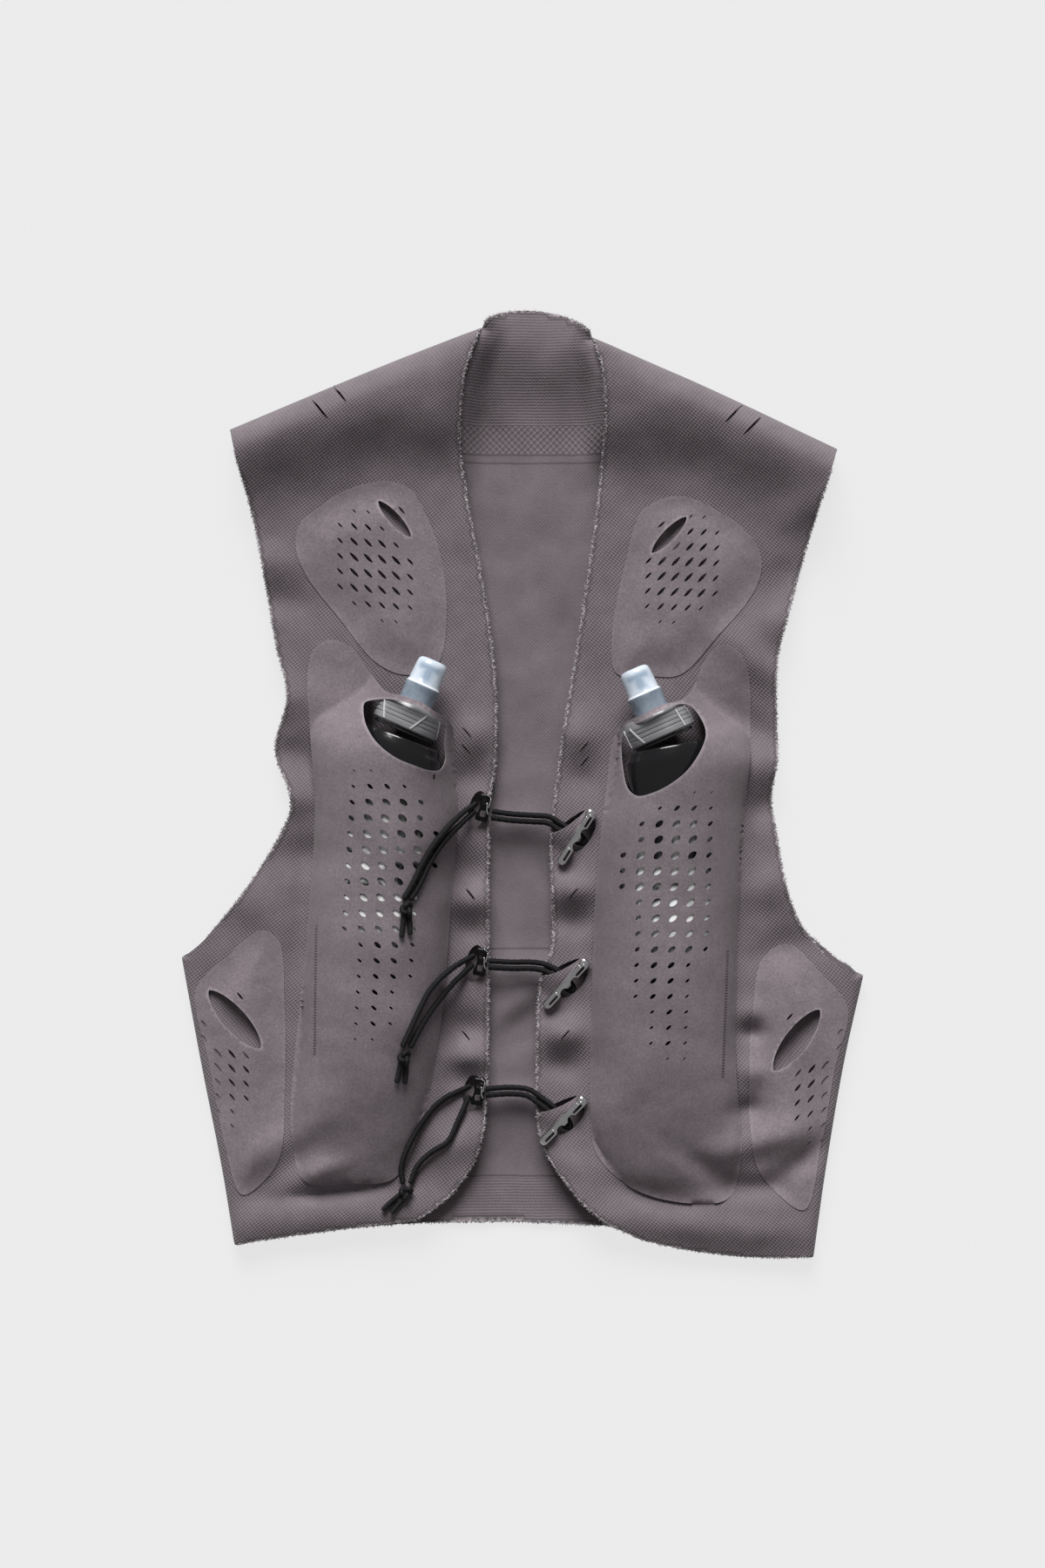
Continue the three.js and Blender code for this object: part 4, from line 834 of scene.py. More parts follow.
def pathLength(path):
    return sum(math.dist(a, b) for a, b in zip(path, path[1:])) * mm


# Overhand knot drawn tight: three crossing turns, and the two cut ends below it
knotSize = {"long": 13.0, "wide": 10.5, "thick": 8.0, "strand": 1.85, "steps": 96,
            "ends": ((0, 0.4), (0.5, 0.8), (1, 1))}


def knotPaths(closure):
    spot = closure["knot"]
    height = restHeight(*spot[:2]) + knotSize["thick"] / 2 - cord["diameter"] / 2
    turns = []
    room = 2 * knotSize["strand"]
    for i in range(knotSize["steps"] + 1):
        t = fullTurn * i / knotSize["steps"]
        along = (math.sin(t) + 2 * math.sin(2 * t)) / 6 * (knotSize["long"] - room)
        across = (math.cos(t) - 2 * math.cos(2 * t)) / 6 * (knotSize["wide"] - room)
        lift = -math.sin(3 * t) / 2 * (knotSize["thick"] - room)
        turns.append((*placed(*spot, along, across), height + lift))
    paths = [turns]
    for aside, reach in closure["ends"]:
        stops = [placed(*spot, reach * far, aside * wide) for far, wide in knotSize["ends"]]
        path = [(*stop, height if i == 0 else restHeight(*stop)) for i, stop in enumerate(stops)]
        paths.append(throughPoints(path))
    return paths


def addCords():
    radius = cord["diameter"] / 2
    for number, closure in enumerate(closures, 1):
        knot = tubePiece(f"tied_knot_{number}", knotPaths(closure), knotSize["strand"])
        settle(knot, "black_cord", f"cord_knot_{number}")
        path = loopPath(closure)
        piece = tubePiece(f"loop_cord_{number}", [path], radius)
        settle(piece, "black_cord", f"cord_loop_{number}")
        for letter, points in zip("ab", closure["tails"]):
            path = tailPath(points)
            piece = tubePiece(f"tail_cord_{number}{letter}", [path], radius)
            settle(piece, "black_cord", f"cord_tail_{number}{letter}")
            print(f"tail {number}{letter}: {pathLength(path):.3f} m")


addCords()
print("cords laid")


# Cut cloth: outlines and holes in plan, filled with even points, then lifted to their heights
def holeLine(x, y, turn, long, wide, corners, taper=0.0):
    line = []
    for i in range(corners):
        angle = fullTurn * i / corners
        along = long / 2 * math.cos(angle)
        across = wide / 2 * math.sin(angle) * abs(math.sin(angle)) ** taper
        line.append(placed(x, y, turn, along, across))
    return line


def fillPoints(loops, step, clear):
    tree = treeOf([p for loop in loops for p in loop])
    xs = [p[0] for p in loops[0]]
    ys = [p[1] for p in loops[0]]
    left, low = min(xs), min(ys)
    rowCount = int((max(ys) - low) / (step * cloth["rowShare"])) + 1
    columnCount = int((max(xs) - left) / step) + 1
    points = []
    for r in range(rowCount):
        for c in range(columnCount):
            x = left + (c + (r % 2) / 2) * step
            y = low + r * step * cloth["rowShare"]
            if tree.find((x, y, 0))[2] > step * clear:
                points.append((x, y))
    return points


seam = {"merge": 2e-6, "snap": 1e-5, "smallest": 1e-6, "edge": 0.5}  # the first is in metres


def triangulate(loops, points):
    flat, borders = [], []
    for loop in loops:
        turn = sum(a[0] * b[1] - b[0] * a[1] for a, b in zip(loop, [*loop[1:], loop[0]]))
        borders.append(list(range(len(flat), len(flat) + len(loop))))
        flat += [Vector(p[:2]) for p in (loop if turn > 0 else loop[::-1])]
    flat += [Vector(p) for p in points]
    result = delaunay_2d_cdt(flat, [], borders, 1, seam["snap"])
    # a triangle inside a hole belongs to the hole's border as well as to the outline
    faces = [face for face, owners in zip(result[2], result[5]) if list(owners) == [0]]
    return result[0], faces


# One cloth piece from cut layers; a layer is its plan, its height and whether its outside is up
def clothPiece(name, layers, wall, edgeShares=(1,)):
    builder = bmesh.new()
    inside = builder.verts.layers.float.new("inside")
    edge = builder.verts.layers.float.new("edge")
    marks = []
    for layer in layers:
        for loop, share in zip(layer[0], edgeShares):
            marks += [(point, share) for point in loop]
    outlines = treeOf([point for point, share in marks])
    for loops, points, height, outsideUp in layers:
        flat, faces = triangulate(loops, points)
        verts = [builder.verts.new((p.x * mm, p.y * mm, height(p.x, p.y) * mm)) for p in flat]
        for vertex in verts:
            vertex[inside] = 0 if outsideUp else 1
        for a, b, c in faces:
            area = (flat[b] - flat[a]).cross(flat[c] - flat[a])
            if abs(area) < seam["smallest"]:
                continue
            up = area > 0
            builder.faces.new([verts[k] for k in ((a, b, c) if up == outsideUp else (a, c, b))])
    bmesh.ops.remove_doubles(builder, verts=builder.verts, dist=seam["merge"])
    bmesh.ops.delete(builder, geom=[v for v in builder.verts if not v.link_faces], context="VERTS")
    for vertex in builder.verts:
        index, away = outlines.find((vertex.co.x / mm, vertex.co.y / mm, 0))[1:]
        vertex[edge] = marks[index][1] if vertex.is_boundary and away < seam["edge"] else 0
    area = sum(face.calc_area() for face in builder.faces)
    mesh = bpy.data.meshes.new(name)
    builder.to_mesh(mesh)
    builder.free()
    mesh.polygons.foreach_set("use_smooth", [True] * len(mesh.polygons))
    piece = bpy.data.objects.new(name, mesh)
    bpy.context.scene.collection.objects.link(piece)
    pickOnly(piece)
    thick = piece.modifiers.new("wall", "SOLIDIFY")
    thick.thickness = wall * mm
    thick.offset = 0
    thick.use_quality_normals = True
    bpy.ops.object.modifier_apply(modifier="wall")
    smoothUnder(piece, cloth["smoothUnder"])
    return piece, area


# Shell: two fronts and the back, joined at the side folds and over the shoulders
lockSlit = {"aside": -4.5, "up": -1.5, "long": 27, "wide": 13, "corners": 20}
spareSlit = {"long": 10, "wide": 1.3, "turn": 50, "corners": 12}
spareSlits = [("left", 40, 37), ("left", 41, 25.5), ("left", 37.5, -80), ("left", 41, -182.5),
              ("right", 44.6, 27), ("right", 45, 16.4), ("right", 36.7, -79), ("right", 30.6, -181.4)]
shoulderSlit = {"long": 18, "wide": 1.6, "corners": 16}
shoulderSlits = [("left", 145.5, 269, 50), ("left", 132, 281, 51), ("right", 152, 266, 45),
                 ("right", 165, 257, 45)]
cutShows = {"front": 0.5, "back": 0.1}  # from this share of the gap between front and back
rawEdges = []
dice = random.Random(cloth["seed"])


def ragged(line):
    amount = cloth["ragged"]
    return [(x + dice.uniform(-amount, amount), y + dice.uniform(-amount, amount)) for x, y in line]


def inPlan(line):
    return [p[:2] for p in line]


def tableLine(rows, sign):
    low, top = rows[0][0], rows[-1][0]
    fine = [low + (top - low) * i / cloth["edgeSteps"] for i in range(cloth["edgeSteps"] + 1)]
    return evenly([(sign * valueAt(rows, y), y) for y in fine], cloth["edgeStep"])


# Points in close rows along a fold, so that its round is smooth
def foldPoints(line, inwardSign):
    points = []
    for i, (x, y, gap) in enumerate(line):
        if gap > cloth["apart"]:
            continue
        before = line[max(i - 1, 0)]
        after = line[min(i + 1, len(line) - 1)]
        away = Vector((after[1] - before[1], before[0] - after[0])).normalized() * inwardSign
        points += [(x + away.x * ring, y + away.y * ring) for ring in cloth["rings"]]
    return points


# The front dips under the open mouths of the flat pockets
def mouthDip(name, x, y):
    dip = 0
    for pocket in flatPockets.values():
        if pocket["side"] != name:
            continue
        sign = sides[name]["sign"]
        out, midY, turn, long, wide = pocket["mouth"]
        along, across = turnedSpot(x, y, sign * out, midY, sign * turn)
        along = along / long * pocketCloth["dipAlong"]
        across = across / wide * pocketCloth["dipAcross"]
        dip += pocket["depth"] * math.exp(-along * along - across * across)
    return dip


def slitLine(x, y, turn, slit):
    return holeLine(x, y, turn, slit["long"], slit["wide"], slit["corners"])


# The slits of a front: for the locks, or for the loops and toggles, then the spare ones and the shoulder's
def frontHoles(name):
    sign = sides[name]["sign"]
    holes = []
    for closure in closures:
        if name == "left":
            x, y, turn = closure["lock"]
            holes.append(slitLine(x + lockSlit["aside"], y + lockSlit["up"], turn, lockSlit))
        else:
            bar = closure["toggle"]
            holes.append(slitLine(*barPlace(bar, hollow["along"], hollow["across"]), bar[2], hollow))
            ends = [Vector(barPlace(bar, along, slitAcross(along))) for along in (band["from"], band["to"])]
            x, y = (ends[0] + ends[1]) / 2
            way = ends[1] - ends[0]
            turn = math.atan2(way.y, way.x) / degrees
            holes.append(holeLine(x, y, turn, way.length, band["open"], band["corners"], band["taper"]))
    for where, out, y in spareSlits:
        if where == name:
            holes.append(slitLine(sign * out, y, sign * spareSlit["turn"], spareSlit))
    for where, out, y, turn in shoulderSlits:
        if where == name:
            holes.append(slitLine(sign * out, y, sign * turn, shoulderSlit))
    return holes


def frontLayer(name):
    side = sides[name]
    sign = side["sign"]
    line = frontLines[name]
    edge = tableLine(side["frontEdge"], sign)
    start, end = Vector(edge[0]), Vector(line[0][:2])
    hem = []
    count = round((end - start).length / cloth["edgeStep"])
    for i in range(1, count):
        t = i / count
        spot = start.lerp(end, t)
        hem.append((spot.x, spot.y + side["hemSag"] * 4 * t * (1 - t)))
    edge = ragged(edge[::-1][1:])
    hem = ragged(hem)
    armhole = inPlan(p for p in line if p[2] > cutShows["front"])

    def height(x, y):
        return frontHeight(name, x, y) - mouthDip(name, x, y)

    for cut in (edge, hem, armhole):
        rawEdges.append((cut, height))
    outline = inPlan(line) + edge + hem
    holes = frontHoles(name)
    rolls = foldPoints(line, -sign)
    points = fillPoints([outline + rolls, *holes], cloth["frontStep"], cloth["frontClear"])
    return [outline, *holes], points + rolls, height, True


# Back: its wave and crinkle are noise layer, size and height; near the collar it rises to the front edges
back = {"neckArch": 17, "rimSteps": 50, "hemRise": 20, "hemSteps": 200, "step": 5.2, "clear": 0.5,
        "level": 1.3, "wave": (11, 55, 1.6), "crinkle": (23, 16, 0.35), "collarRoom": 6, "collarReach": 16,
        "collarUnder": -12, "collarRun": (190, 245)}


def backLayer():
    lines = {name: outerLine(name, back=True) for name in sides}
    tree = foldTree(lines["left"] + lines["right"])
    leftNeck, rightNeck = lines["left"][-1], lines["right"][-1]
    leftHem, rightHem = lines["left"][0], lines["right"][0]
    rim, hem = [], []
    for i in range(1, back["rimSteps"]):
        t = 2 * i / back["rimSteps"] - 1
        x, y = (a + (b - a) * i / back["rimSteps"] for a, b in zip(leftNeck[:2], rightNeck))
        rim.append((x, y + back["neckArch"] * math.sqrt(1 - t * t)))
    for i in range(1, back["hemSteps"]):
        t = i / back["hemSteps"]
        x, y = (a + (b - a) * t for a, b in zip(rightHem[:2], leftHem))
        hem.append((x, y + back["hemRise"] * 4 * t * (1 - t)))
    rim = ragged(rim)
    hem = ragged(hem)
    outline = inPlan(lines["left"]) + rim + inPlan(lines["right"][::-1]) + hem
    rolls = foldPoints(lines["left"], 1) + foldPoints(lines["right"], -1)
    points = fillPoints([outline + rolls], back["step"], back["clear"])

    def height(x, y):
        swing = back["level"] + unevenness(x, y, *back["wave"]) + unevenness(x, y, *back["crinkle"])
        name = "left" if x < cloth["middle"] else "right"
        edge = valueAt(sides[name]["frontEdge"], y)
        out = sides[name]["sign"] * x
        above = frontHeight(name, sides[name]["sign"] * max(edge, out), y)
        room = above - cloth["backHeight"] - back["collarRoom"] - neckLift(x, y)
        near = smooth(edge - out, back["collarUnder"], 0) * (1 - smooth(edge - out, 0, back["collarReach"]))
        wall = max(room, 0) * near * smooth(y, *back["collarRun"])
        return layerHeight(tree, x, y, -1, max(swing + foldHeight(x, y, backFolds), 0) + wall)

    armholes = [inPlan(p for p in lines[name] if p[2] > cutShows["back"]) for name in sides]
    for cut in (rim, hem, *armholes):
        rawEdges.append((cut, height))
    return [outline], points + rolls, height, False


def addShell():
    layers = [frontLayer("left"), frontLayer("right"), backLayer()]
    piece, area = clothPiece("shell_cloth_body", layers, cloth["wall"])
    settle(piece, "shell_cloth", "vest_shell")
    print(f"shell: {area:.3f} m2, {len(piece.data.polygons)} faces")
    return piece


# Pierced panels: first and last column of each row and the size of its holes against the longest
patterns = {
    "flask": {
        "longest": 7.6, "wide": 0.6, "turn": 42, "taper": 0.12, "thin": 0.8, "edge": 0.68, "corners": 14,
        "rows": [(0, 1, 0.5), (0, 3, 0.7), (0, 4, 0.9), (0, 4, 1), (0, 5, 1), (0, 5, 1), (0, 5, 1),
                 (0, 4, 1), (0, 4, 0.95), (0, 4, 0.9), (0, 4, 0.85), (1, 4, 0.8), (1, 4, 0.75),
                 (1, 4, 0.7), (1, 3, 0.7), (1, 3, 0.65), (1, 3, 0.65), (1, 2, 0.55)]},
    "chest": {
        "longest": 9.2, "wide": 0.26, "turn": 46, "taper": 0.4, "thin": 0.0, "edge": 0.72, "corners": 12,
        "rows": [(1, 2, 0.6), (0, 3, 0.75), (0, 4, 0.9), (0, 5, 1), (0, 5, 1), (0, 5, 0.95), (1, 5, 0.75),
                 (3, 4, 0.55)]},
    "side": {
        "longest": 8.6, "wide": 0.26, "turn": 50, "taper": 0.4, "thin": 0.0, "edge": 0.85, "corners": 12,
        "rows": [(0, 0, 0.8), (0, 0, 0.9), (0, 3, 1), (0, 3, 1), (1, 3, 0.9), (1, 3, 0.8), (1, 2, 0.7),
                 (1, 2, 0.6)]},
}

# Flat pockets; a mouth and a tack are place, turn, length and width
flatPockets = {
    "chest_pocket_left": {
        "side": "left", "pattern": "chest",
        "outline": [(164, 172), (161, 188), (143, 203), (126, 213), (100, 219), (82, 214), (74, 203),
                    (60, 168), (55, 120), (62, 86), (85, 79), (106, 88), (132, 119), (157, 152)],
        "mouth": (92.5, 191.5, 48, 35, 8.4), "tack": (87.4, 197.8, 50, 7, 1.6), "puff": 4.0, "depth": 4,
        "slits": {"out": 131.7, "y": 198, "columnOut": -10.1, "columnY": -0.8, "rowOut": 0, "rowY": -11.1}},
    "chest_pocket_right": {
        "side": "right", "pattern": "chest",
        "outline": [(172, 150), (172, 166), (162, 182), (140, 198), (116, 208), (98, 205), (85, 195),
                    (74, 158), (65, 110), (68, 80), (92, 78), (114, 79), (142, 108), (163, 132)],
        "mouth": (106, 180, 46, 36, 8.8), "tack": (100.4, 187.4, 42, 7, 1.6), "puff": 4.0, "depth": 4,
        "slits": {"out": 141, "y": 192.5, "columnOut": -9.7, "columnY": 0.4, "rowOut": -0.4, "rowY": -11}},
    "side_pocket_left": {
        "side": "left", "pattern": "side",
        "outline": [(236, -148), (215, -126), (190, -106), (177, -112), (172, -160), (172, -225),
                    (175, -268), (187, -287), (203, -297), (215, -262), (226, -205)],
        "mouth": (208, -170, 48, 56, 17), "tack": (204, -153, 50, 7, 1.6), "puff": 4.5, "depth": 5,
        "slits": {"out": 230.5, "y": -173, "columnOut": -10.3, "columnY": -0.6, "rowOut": 0,
                  "rowY": -10.4}},
    "side_pocket_right": {
        "side": "right", "pattern": "side",
        "outline": [(235, -162), (215, -136), (192, -116), (174, -126), (166, -170), (164, -230),
                    (169, -275), (182, -294), (204, -308), (216, -262), (226, -205)],
        "mouth": (198, -185, 53, 55, 17), "tack": (193, -168, 48, 7, 1.6), "puff": 4.5, "depth": 5,
        "slits": {"out": 229.5, "y": -179, "columnOut": -9.8, "columnY": -2.6, "rowOut": -0.4,
                  "rowY": -10.8}},
}


def outlineOf(name, points):
    sign = sides[name]["sign"]
    line = throughPoints([(sign * out, y) for out, y in points], closed=True)
    return evenly(line, pocketCloth["edgeStep"])[:-1]


def patternHoles(name, pattern, lattice):
    sign = sides[name]["sign"]
    holes = []
    for r, (start, end, size) in enumerate(pattern["rows"]):
        for c in range(start, end + 1):
            long = pattern["longest"] * size * (pattern["edge"] if c in (start, end) else 1)
            out = lattice["out"] + c * lattice["columnOut"] + r * lattice["rowOut"]
            y = lattice["y"] + c * lattice["columnY"] + r * lattice["rowY"]
            wide = long * pattern["wide"] * size ** pattern["thin"]
            holes.append(holeLine(sign * out, y, sign * pattern["turn"], long, wide, pattern["corners"],
                                  pattern["taper"]))
    return holes


def addPanel(pieceName, nodeName, loops, height):
    points = fillPoints(loops, pocketCloth["step"], pocketCloth["clear"])
    layers = [(loops, points, height, True)]
    piece, area = clothPiece(pieceName, layers, pocketCloth["wall"], pocketCloth["edgeShares"])
    settle(piece, "pocket_cloth", nodeName)
    print(f"{nodeName}: {area:.4f} m2, {len(piece.data.polygons)} faces")
    return piece, area


def addFlaskPockets():
    for name, pocket in flaskPockets.items():
        outline = outlineOf(name, pocket["outline"])
        mouth = outlineOf(name, pocket["mouth"])
        holes = patternHoles(name, patterns["flask"], pocket["holes"])

        def height(x, y):
            return panelHeight(name, x, y) + swellHeight(name, x, y)

        loops = [outline, mouth, *holes]
        piece, area = addPanel(f"flask_panel_{name}", f"flask_pocket_{name}", loops, height)


def addFlatPockets():
    for nodeName, pocket in flatPockets.items():
        name = pocket["side"]
        sign = sides[name]["sign"]
        slots = []
        for slot in ("mouth", "tack"):
            out, y, turn, long, wide = pocket[slot]
            corners = pocketCloth[slot + "Corners"]
            taper = pocketCloth["slotTaper"]
            slots.append(holeLine(sign * out, y, sign * turn, long, wide, corners, taper))
        holes = patternHoles(name, patterns[pocket["pattern"]], pocket["slits"])
        outline = outlineOf(name, pocket["outline"])
        border = treeOf(outline)

        def height(x, y):
            puff = pocket["puff"] * smooth(border.find((x, y, 0))[2], *pocketCloth["puffRun"])
            return panelHeight(name, x, y) + puff

        pieceName = nodeName.replace("pocket", "panel")
        piece, area = addPanel(pieceName, nodeName, [outline, *slots, *holes], height)


shell = addShell()
addFlaskPockets()
addFlatPockets()

# Cut threads along the raw edges: each is bowed, with three corners round it
fray = {"every": 0.45, "long": (1.2, 3.6), "thick": 0.26, "scatter": 0.9, "bow": (-0.4, 0.9),
        "tip": (-0.2, 0.6), "rise": 0.5, "lowest": 0.2, "corners": (0, 2.1, 4.2), "seed": 21}


def addFray():
    rolls = random.Random(fray["seed"])
    thick = fray["thick"]
    verts, faces = [], []
    for line, height in rawEdges:
        for (ax, ay), (bx, by) in zip(line, line[1:]):
            span = math.dist((ax, ay), (bx, by))
            for i in range(max(1, round(span / fray["every"]))):
                t = rolls.random()
                x, y = ax + (bx - ax) * t, ay + (by - ay) * t
                z = height(x, y) + rolls.uniform(-fray["scatter"], fray["scatter"])
                heading = rolls.uniform(0, fullTurn)
                reach = rolls.uniform(*fray["long"]) / 2
                bow = rolls.uniform(*fray["bow"])
                tip = rolls.uniform(*fray["tip"])
                start = len(verts)
                c, s = math.cos(heading), math.sin(heading)
                for along, lift in ((-1, 0), (0, bow), (1, tip)):
                    px, py = x + c * reach * along, y + s * reach * along
                    pz = max(z + lift * fray["rise"], fray["lowest"])
                    for angle in fray["corners"]:
                        verts.append((px - s * thick * math.cos(angle), py + c * thick * math.cos(angle),
                                      pz + thick * math.sin(angle)))
                for k in (start, start + 3):
                    for j in range(3):
                        n = (j + 1) % 3
                        faces.append((k + j, k + n, k + 3 + n, k + 3 + j))
                faces.append((start + 2, start + 1, start))
                faces.append((start + 6, start + 7, start + 8))
    piece = meshPiece("cut_threads", verts, faces)
    piece.data.materials.append(finishes["fray"])
    settle(piece, "shell_cloth")
    print(f"cut threads: {len(faces)} faces")
    return piece


threads = addFray()


# Soft flasks: film body lofted through ovals
film = {"around": 40, "rows": 70, "floor": 15.4, "crumple": 0.7, "crumpleSize": 17, "calmRows": 6,
        "sink": 0.2, "probe": 0.5}


def addFlaskBodies():
    count, rowCount = film["around"], film["rows"]
    for name, pocket in flaskPockets.items():
        sign = sides[name]["sign"]
        byHeight = sorted([(y, out, wide, thick) for out, y, wide, thick in pocket["body"]])
        low, top = byHeight[0][0], byHeight[-1][0]
        verts, faces = [], []
        for i in range(rowCount + 1):
            t = i / rowCount
            y = low + (top - low) * (t + smooth(t, 0, 1)) / 2
            out, wide, thick = (valueAt(byHeight, y, k) for k in (1, 2, 3))
            below, above = max(y - film["probe"], low), min(y + film["probe"], top)
            drift = sign * (valueAt(byHeight, above, 1) - valueAt(byHeight, below, 1)) / (above - below)
            size = math.hypot(1, drift)
            calm = smooth(i, 0, film["calmRows"]), smooth(rowCount - i, 0, film["calmRows"])
            for k in range(count):
                angle = fullTurn * k / count
                aside = wide * math.cos(angle)
                x = sign * out - aside / size
                rise = film["floor"] + thick * (1 + math.sin(angle))
                dent = noise.noise(Vector((x, y, rise)) / film["crumpleSize"]) * film["crumple"]
                dent = dent * calm[0] * calm[1]
                verts.append((x, y + aside * drift / size, rise + min(dent, 0) - film["sink"]))
        for i in range(0, rowCount * count, count):
            for k in range(count):
                n = (k + 1) % count
                faces.append((i + n, i + k, i + count + k, i + count + n))
        faces.append(tuple(range(count)))
        faces.append(tuple(reversed(range(rowCount * count, rowCount * count + count))))
        piece = meshPiece(f"film_bag_{name}", verts, faces)
        settle(piece, "smoke_film", f"flask_body_{name}")


addFlaskBodies()
print("flask bodies lofted")


def startEdit():
    bpy.ops.object.mode_set(mode="EDIT")
    bpy.ops.mesh.select_all(action="SELECT")


def endEdit():
    bpy.ops.object.mode_set(mode="OBJECT")


def newShape(add, **values):
    bpy.ops.object.select_all(action="DESELECT")
    add(**values)
    return bpy.context.object


# Turned part: a profile of radius and height is extruded point by point, then spun round the axis
def spunPiece(name, profile, steps):
    piece = newShape(bpy.ops.mesh.primitive_plane_add, size=mm, location=(0, 0, 0))
    piece.name = name
    piece.data.name = name
    startEdit()
    bpy.ops.mesh.merge(type="CENTER")
    radius, height = profile[0]
    bpy.ops.transform.translate(value=(radius * mm, 0, height * mm))
    for nextRadius, nextHeight in profile[1:]:
        move = ((nextRadius - radius) * mm, 0, (nextHeight - height) * mm)
        bpy.ops.mesh.extrude_region_move(TRANSFORM_OT_translate={"value": move})
        radius, height = nextRadius, nextHeight
    bpy.ops.mesh.select_all(action="SELECT")
    bpy.ops.mesh.spin(steps=steps, angle=fullTurn, center=(0, 0, 0), axis=(0, 0, 1))
    bpy.ops.mesh.select_all(action="SELECT")
    bpy.ops.mesh.remove_doubles(threshold=roundSteps["merge"])
    bpy.ops.mesh.normals_make_consistent(inside=False)
    endEdit()
    return piece


def joinPieces(first, others):
    bpy.ops.object.select_all(action="DESELECT")
    for piece in (first, *others):
        piece.select_set(True)
    bpy.context.view_layer.objects.active = first
    bpy.ops.object.join()


# A part made upright on the origin goes to its place, with the move applied to its mesh
def placePiece(piece, location, rotation):
    pickOnly(piece)
    piece.location = [c * mm for c in location]
    piece.rotation_euler = [angle * degrees for angle in rotation]
    bpy.ops.object.transform_apply(location=True, rotation=True, scale=True)


# Thin ribs on the cap's round side, in three groups; a line is its start and end angle; they are coloured
# paler than the cap, a painted highlight on their edges
capRibs = {"groups": (-90, 30, 150), "low": 4.5, "top": 17.8, "radius": 24.4, "width": 1.2, "thick": 1.2,
           "cuts": 7, "left": ((-40, -59), (10, 29)), "right": ((-36, -56), (44, 38))}


def capRib(startAngle, endAngle):
    rib = newShape(bpy.ops.mesh.primitive_cube_add, size=mm)
    startEdit()
    bpy.ops.mesh.subdivide(number_cuts=capRibs["cuts"])
    endEdit()
    for vertex in rib.data.vertices:
        along, deep, aside = (c / mm for c in vertex.co)
        t = along + 0.5
        angle = (startAngle + (endAngle - startAngle) * t) * degrees
        angle += aside * capRibs["width"] / capRibs["radius"]
        height = capRibs["low"] + (capRibs["top"] - capRibs["low"]) * t
        reach = capRibs["radius"] + deep * capRibs["thick"]
        vertex.co = Vector((reach * math.cos(angle), reach * math.sin(angle), height)) * mm
    pickOnly(rib)
    startEdit()
    bpy.ops.mesh.normals_make_consistent(inside=False)
    endEdit()
    # paler finish on the ribs: painted highlight
    rib.data.materials.append(finishes["rib_highlight"])
    return rib


# Flask heads: profiles are radius and height; the run in which the valve gets flatter is in metres
head = {"lean": 23.6, "height": 39.9, "flatten": 0.14, "flattenRun": (0.036, 0.05), "smoothUnder": 35}
capProfile = [(0, 3.2), (23.2, 3.2), (24.3, 4.2), (24.5, 5.2), (24.5, 7.4), (23.9, 7.8), (23.9, 8.6),
              (24.4, 9.0), (24.4, 10.6), (23.9, 11.0), (23.9, 11.8), (24.4, 12.2), (24.4, 13.8),
              (23.9, 14.2), (23.9, 15.0), (24.3, 15.4), (24.2, 17.2), (23.4, 18.4), (22.6, 20.6),
              (21.6, 21.7), (20.4, 22.0), (0, 22.0)]
collarProfile = [(0, 0.4), (21.6, 0.4), (22, 0.8), (22, 2.2), (21.6, 2.6), (0, 2.6)]
valveProfile = [(0, 22.4), (11.6, 22.4), (12.6, 23.4), (12.6, 32.6), (13.2, 34.4), (13.2, 36.4),
                (12.2, 37.4), (11.7, 38.6), (11.4, 46), (11.1, 52), (10.4, 54.6), (8.8, 56.0),
                (5.5, 56.5), (0, 56.5)]
roundSteps = {"cap": 72, "collar": 64, "valve": 48, "bevel": 5, "merge": 1e-6}  # the last is in metres


def mapAndFlatten(valve):
    mapping = valve.data.uv_layers.new(name="valve")
    for loop in valve.data.loops:
        spot = valve.data.vertices[loop.vertex_index].co
        mapping.data[loop.index].uv = (spot.x / mm, spot.z / mm)
    for vertex in valve.data.vertices:
        vertex.co.y *= 1 - head["flatten"] * smooth(vertex.co.z, *head["flattenRun"])


def addFlaskHeads():
    for name, pocket in flaskPockets.items():
        sign = sides[name]["sign"]
        out, y = pocket["head"]
        cap = spunPiece(f"ribbed_cap_{name}", capProfile, roundSteps["cap"])
        cap.data.materials.append(finishes["smoke_plastic"])
        ribs = []
        for base in capRibs["groups"]:
            ribs += [capRib(base + start, base + end) for start, end in capRibs[name]]
        joinPieces(cap, ribs)
        collar = spunPiece(f"black_collar_{name}", collarProfile, roundSteps["collar"])
        valve = spunPiece(f"drink_valve_{name}", valveProfile, roundSteps["valve"])
        mapAndFlatten(valve)
        for piece, slot, node in ((cap, "smoke_plastic", "flask_cap"),
                                  (collar, "black_plastic", "flask_collar"),
                                  (valve, "clear_silicone", "bite_valve")):
            placePiece(piece, (sign * out, y, head["height"]), (-90, 0, sign * head["lean"]))
            smoothUnder(piece, head["smoothUnder"])
            settle(piece, slot, f"{node}_{name}")


addFlaskHeads()
print("flask heads turned")


def cutWith(piece, cutter):
    pickOnly(piece)
    cut = piece.modifiers.new("cut", "BOOLEAN")
    cut.operation = "DIFFERENCE"
    cut.object = cutter
    cut.solver = "EXACT"
    cut.use_self = True
    bpy.ops.object.modifier_apply(modifier="cut")
    bpy.data.objects.remove(cutter)


def roundBar(length, width, thick, location, bevel):
    bar = newShape(bpy.ops.mesh.primitive_cube_add, size=1, location=[c * mm for c in location])
    bar.scale = (length * mm, width * mm, thick * mm)
    bpy.ops.object.transform_apply(location=True, rotation=False, scale=True)
    startEdit()
    bpy.ops.mesh.bevel(offset=bevel * mm, segments=roundSteps["bevel"], affect="EDGES")
    endEdit()
    return bar


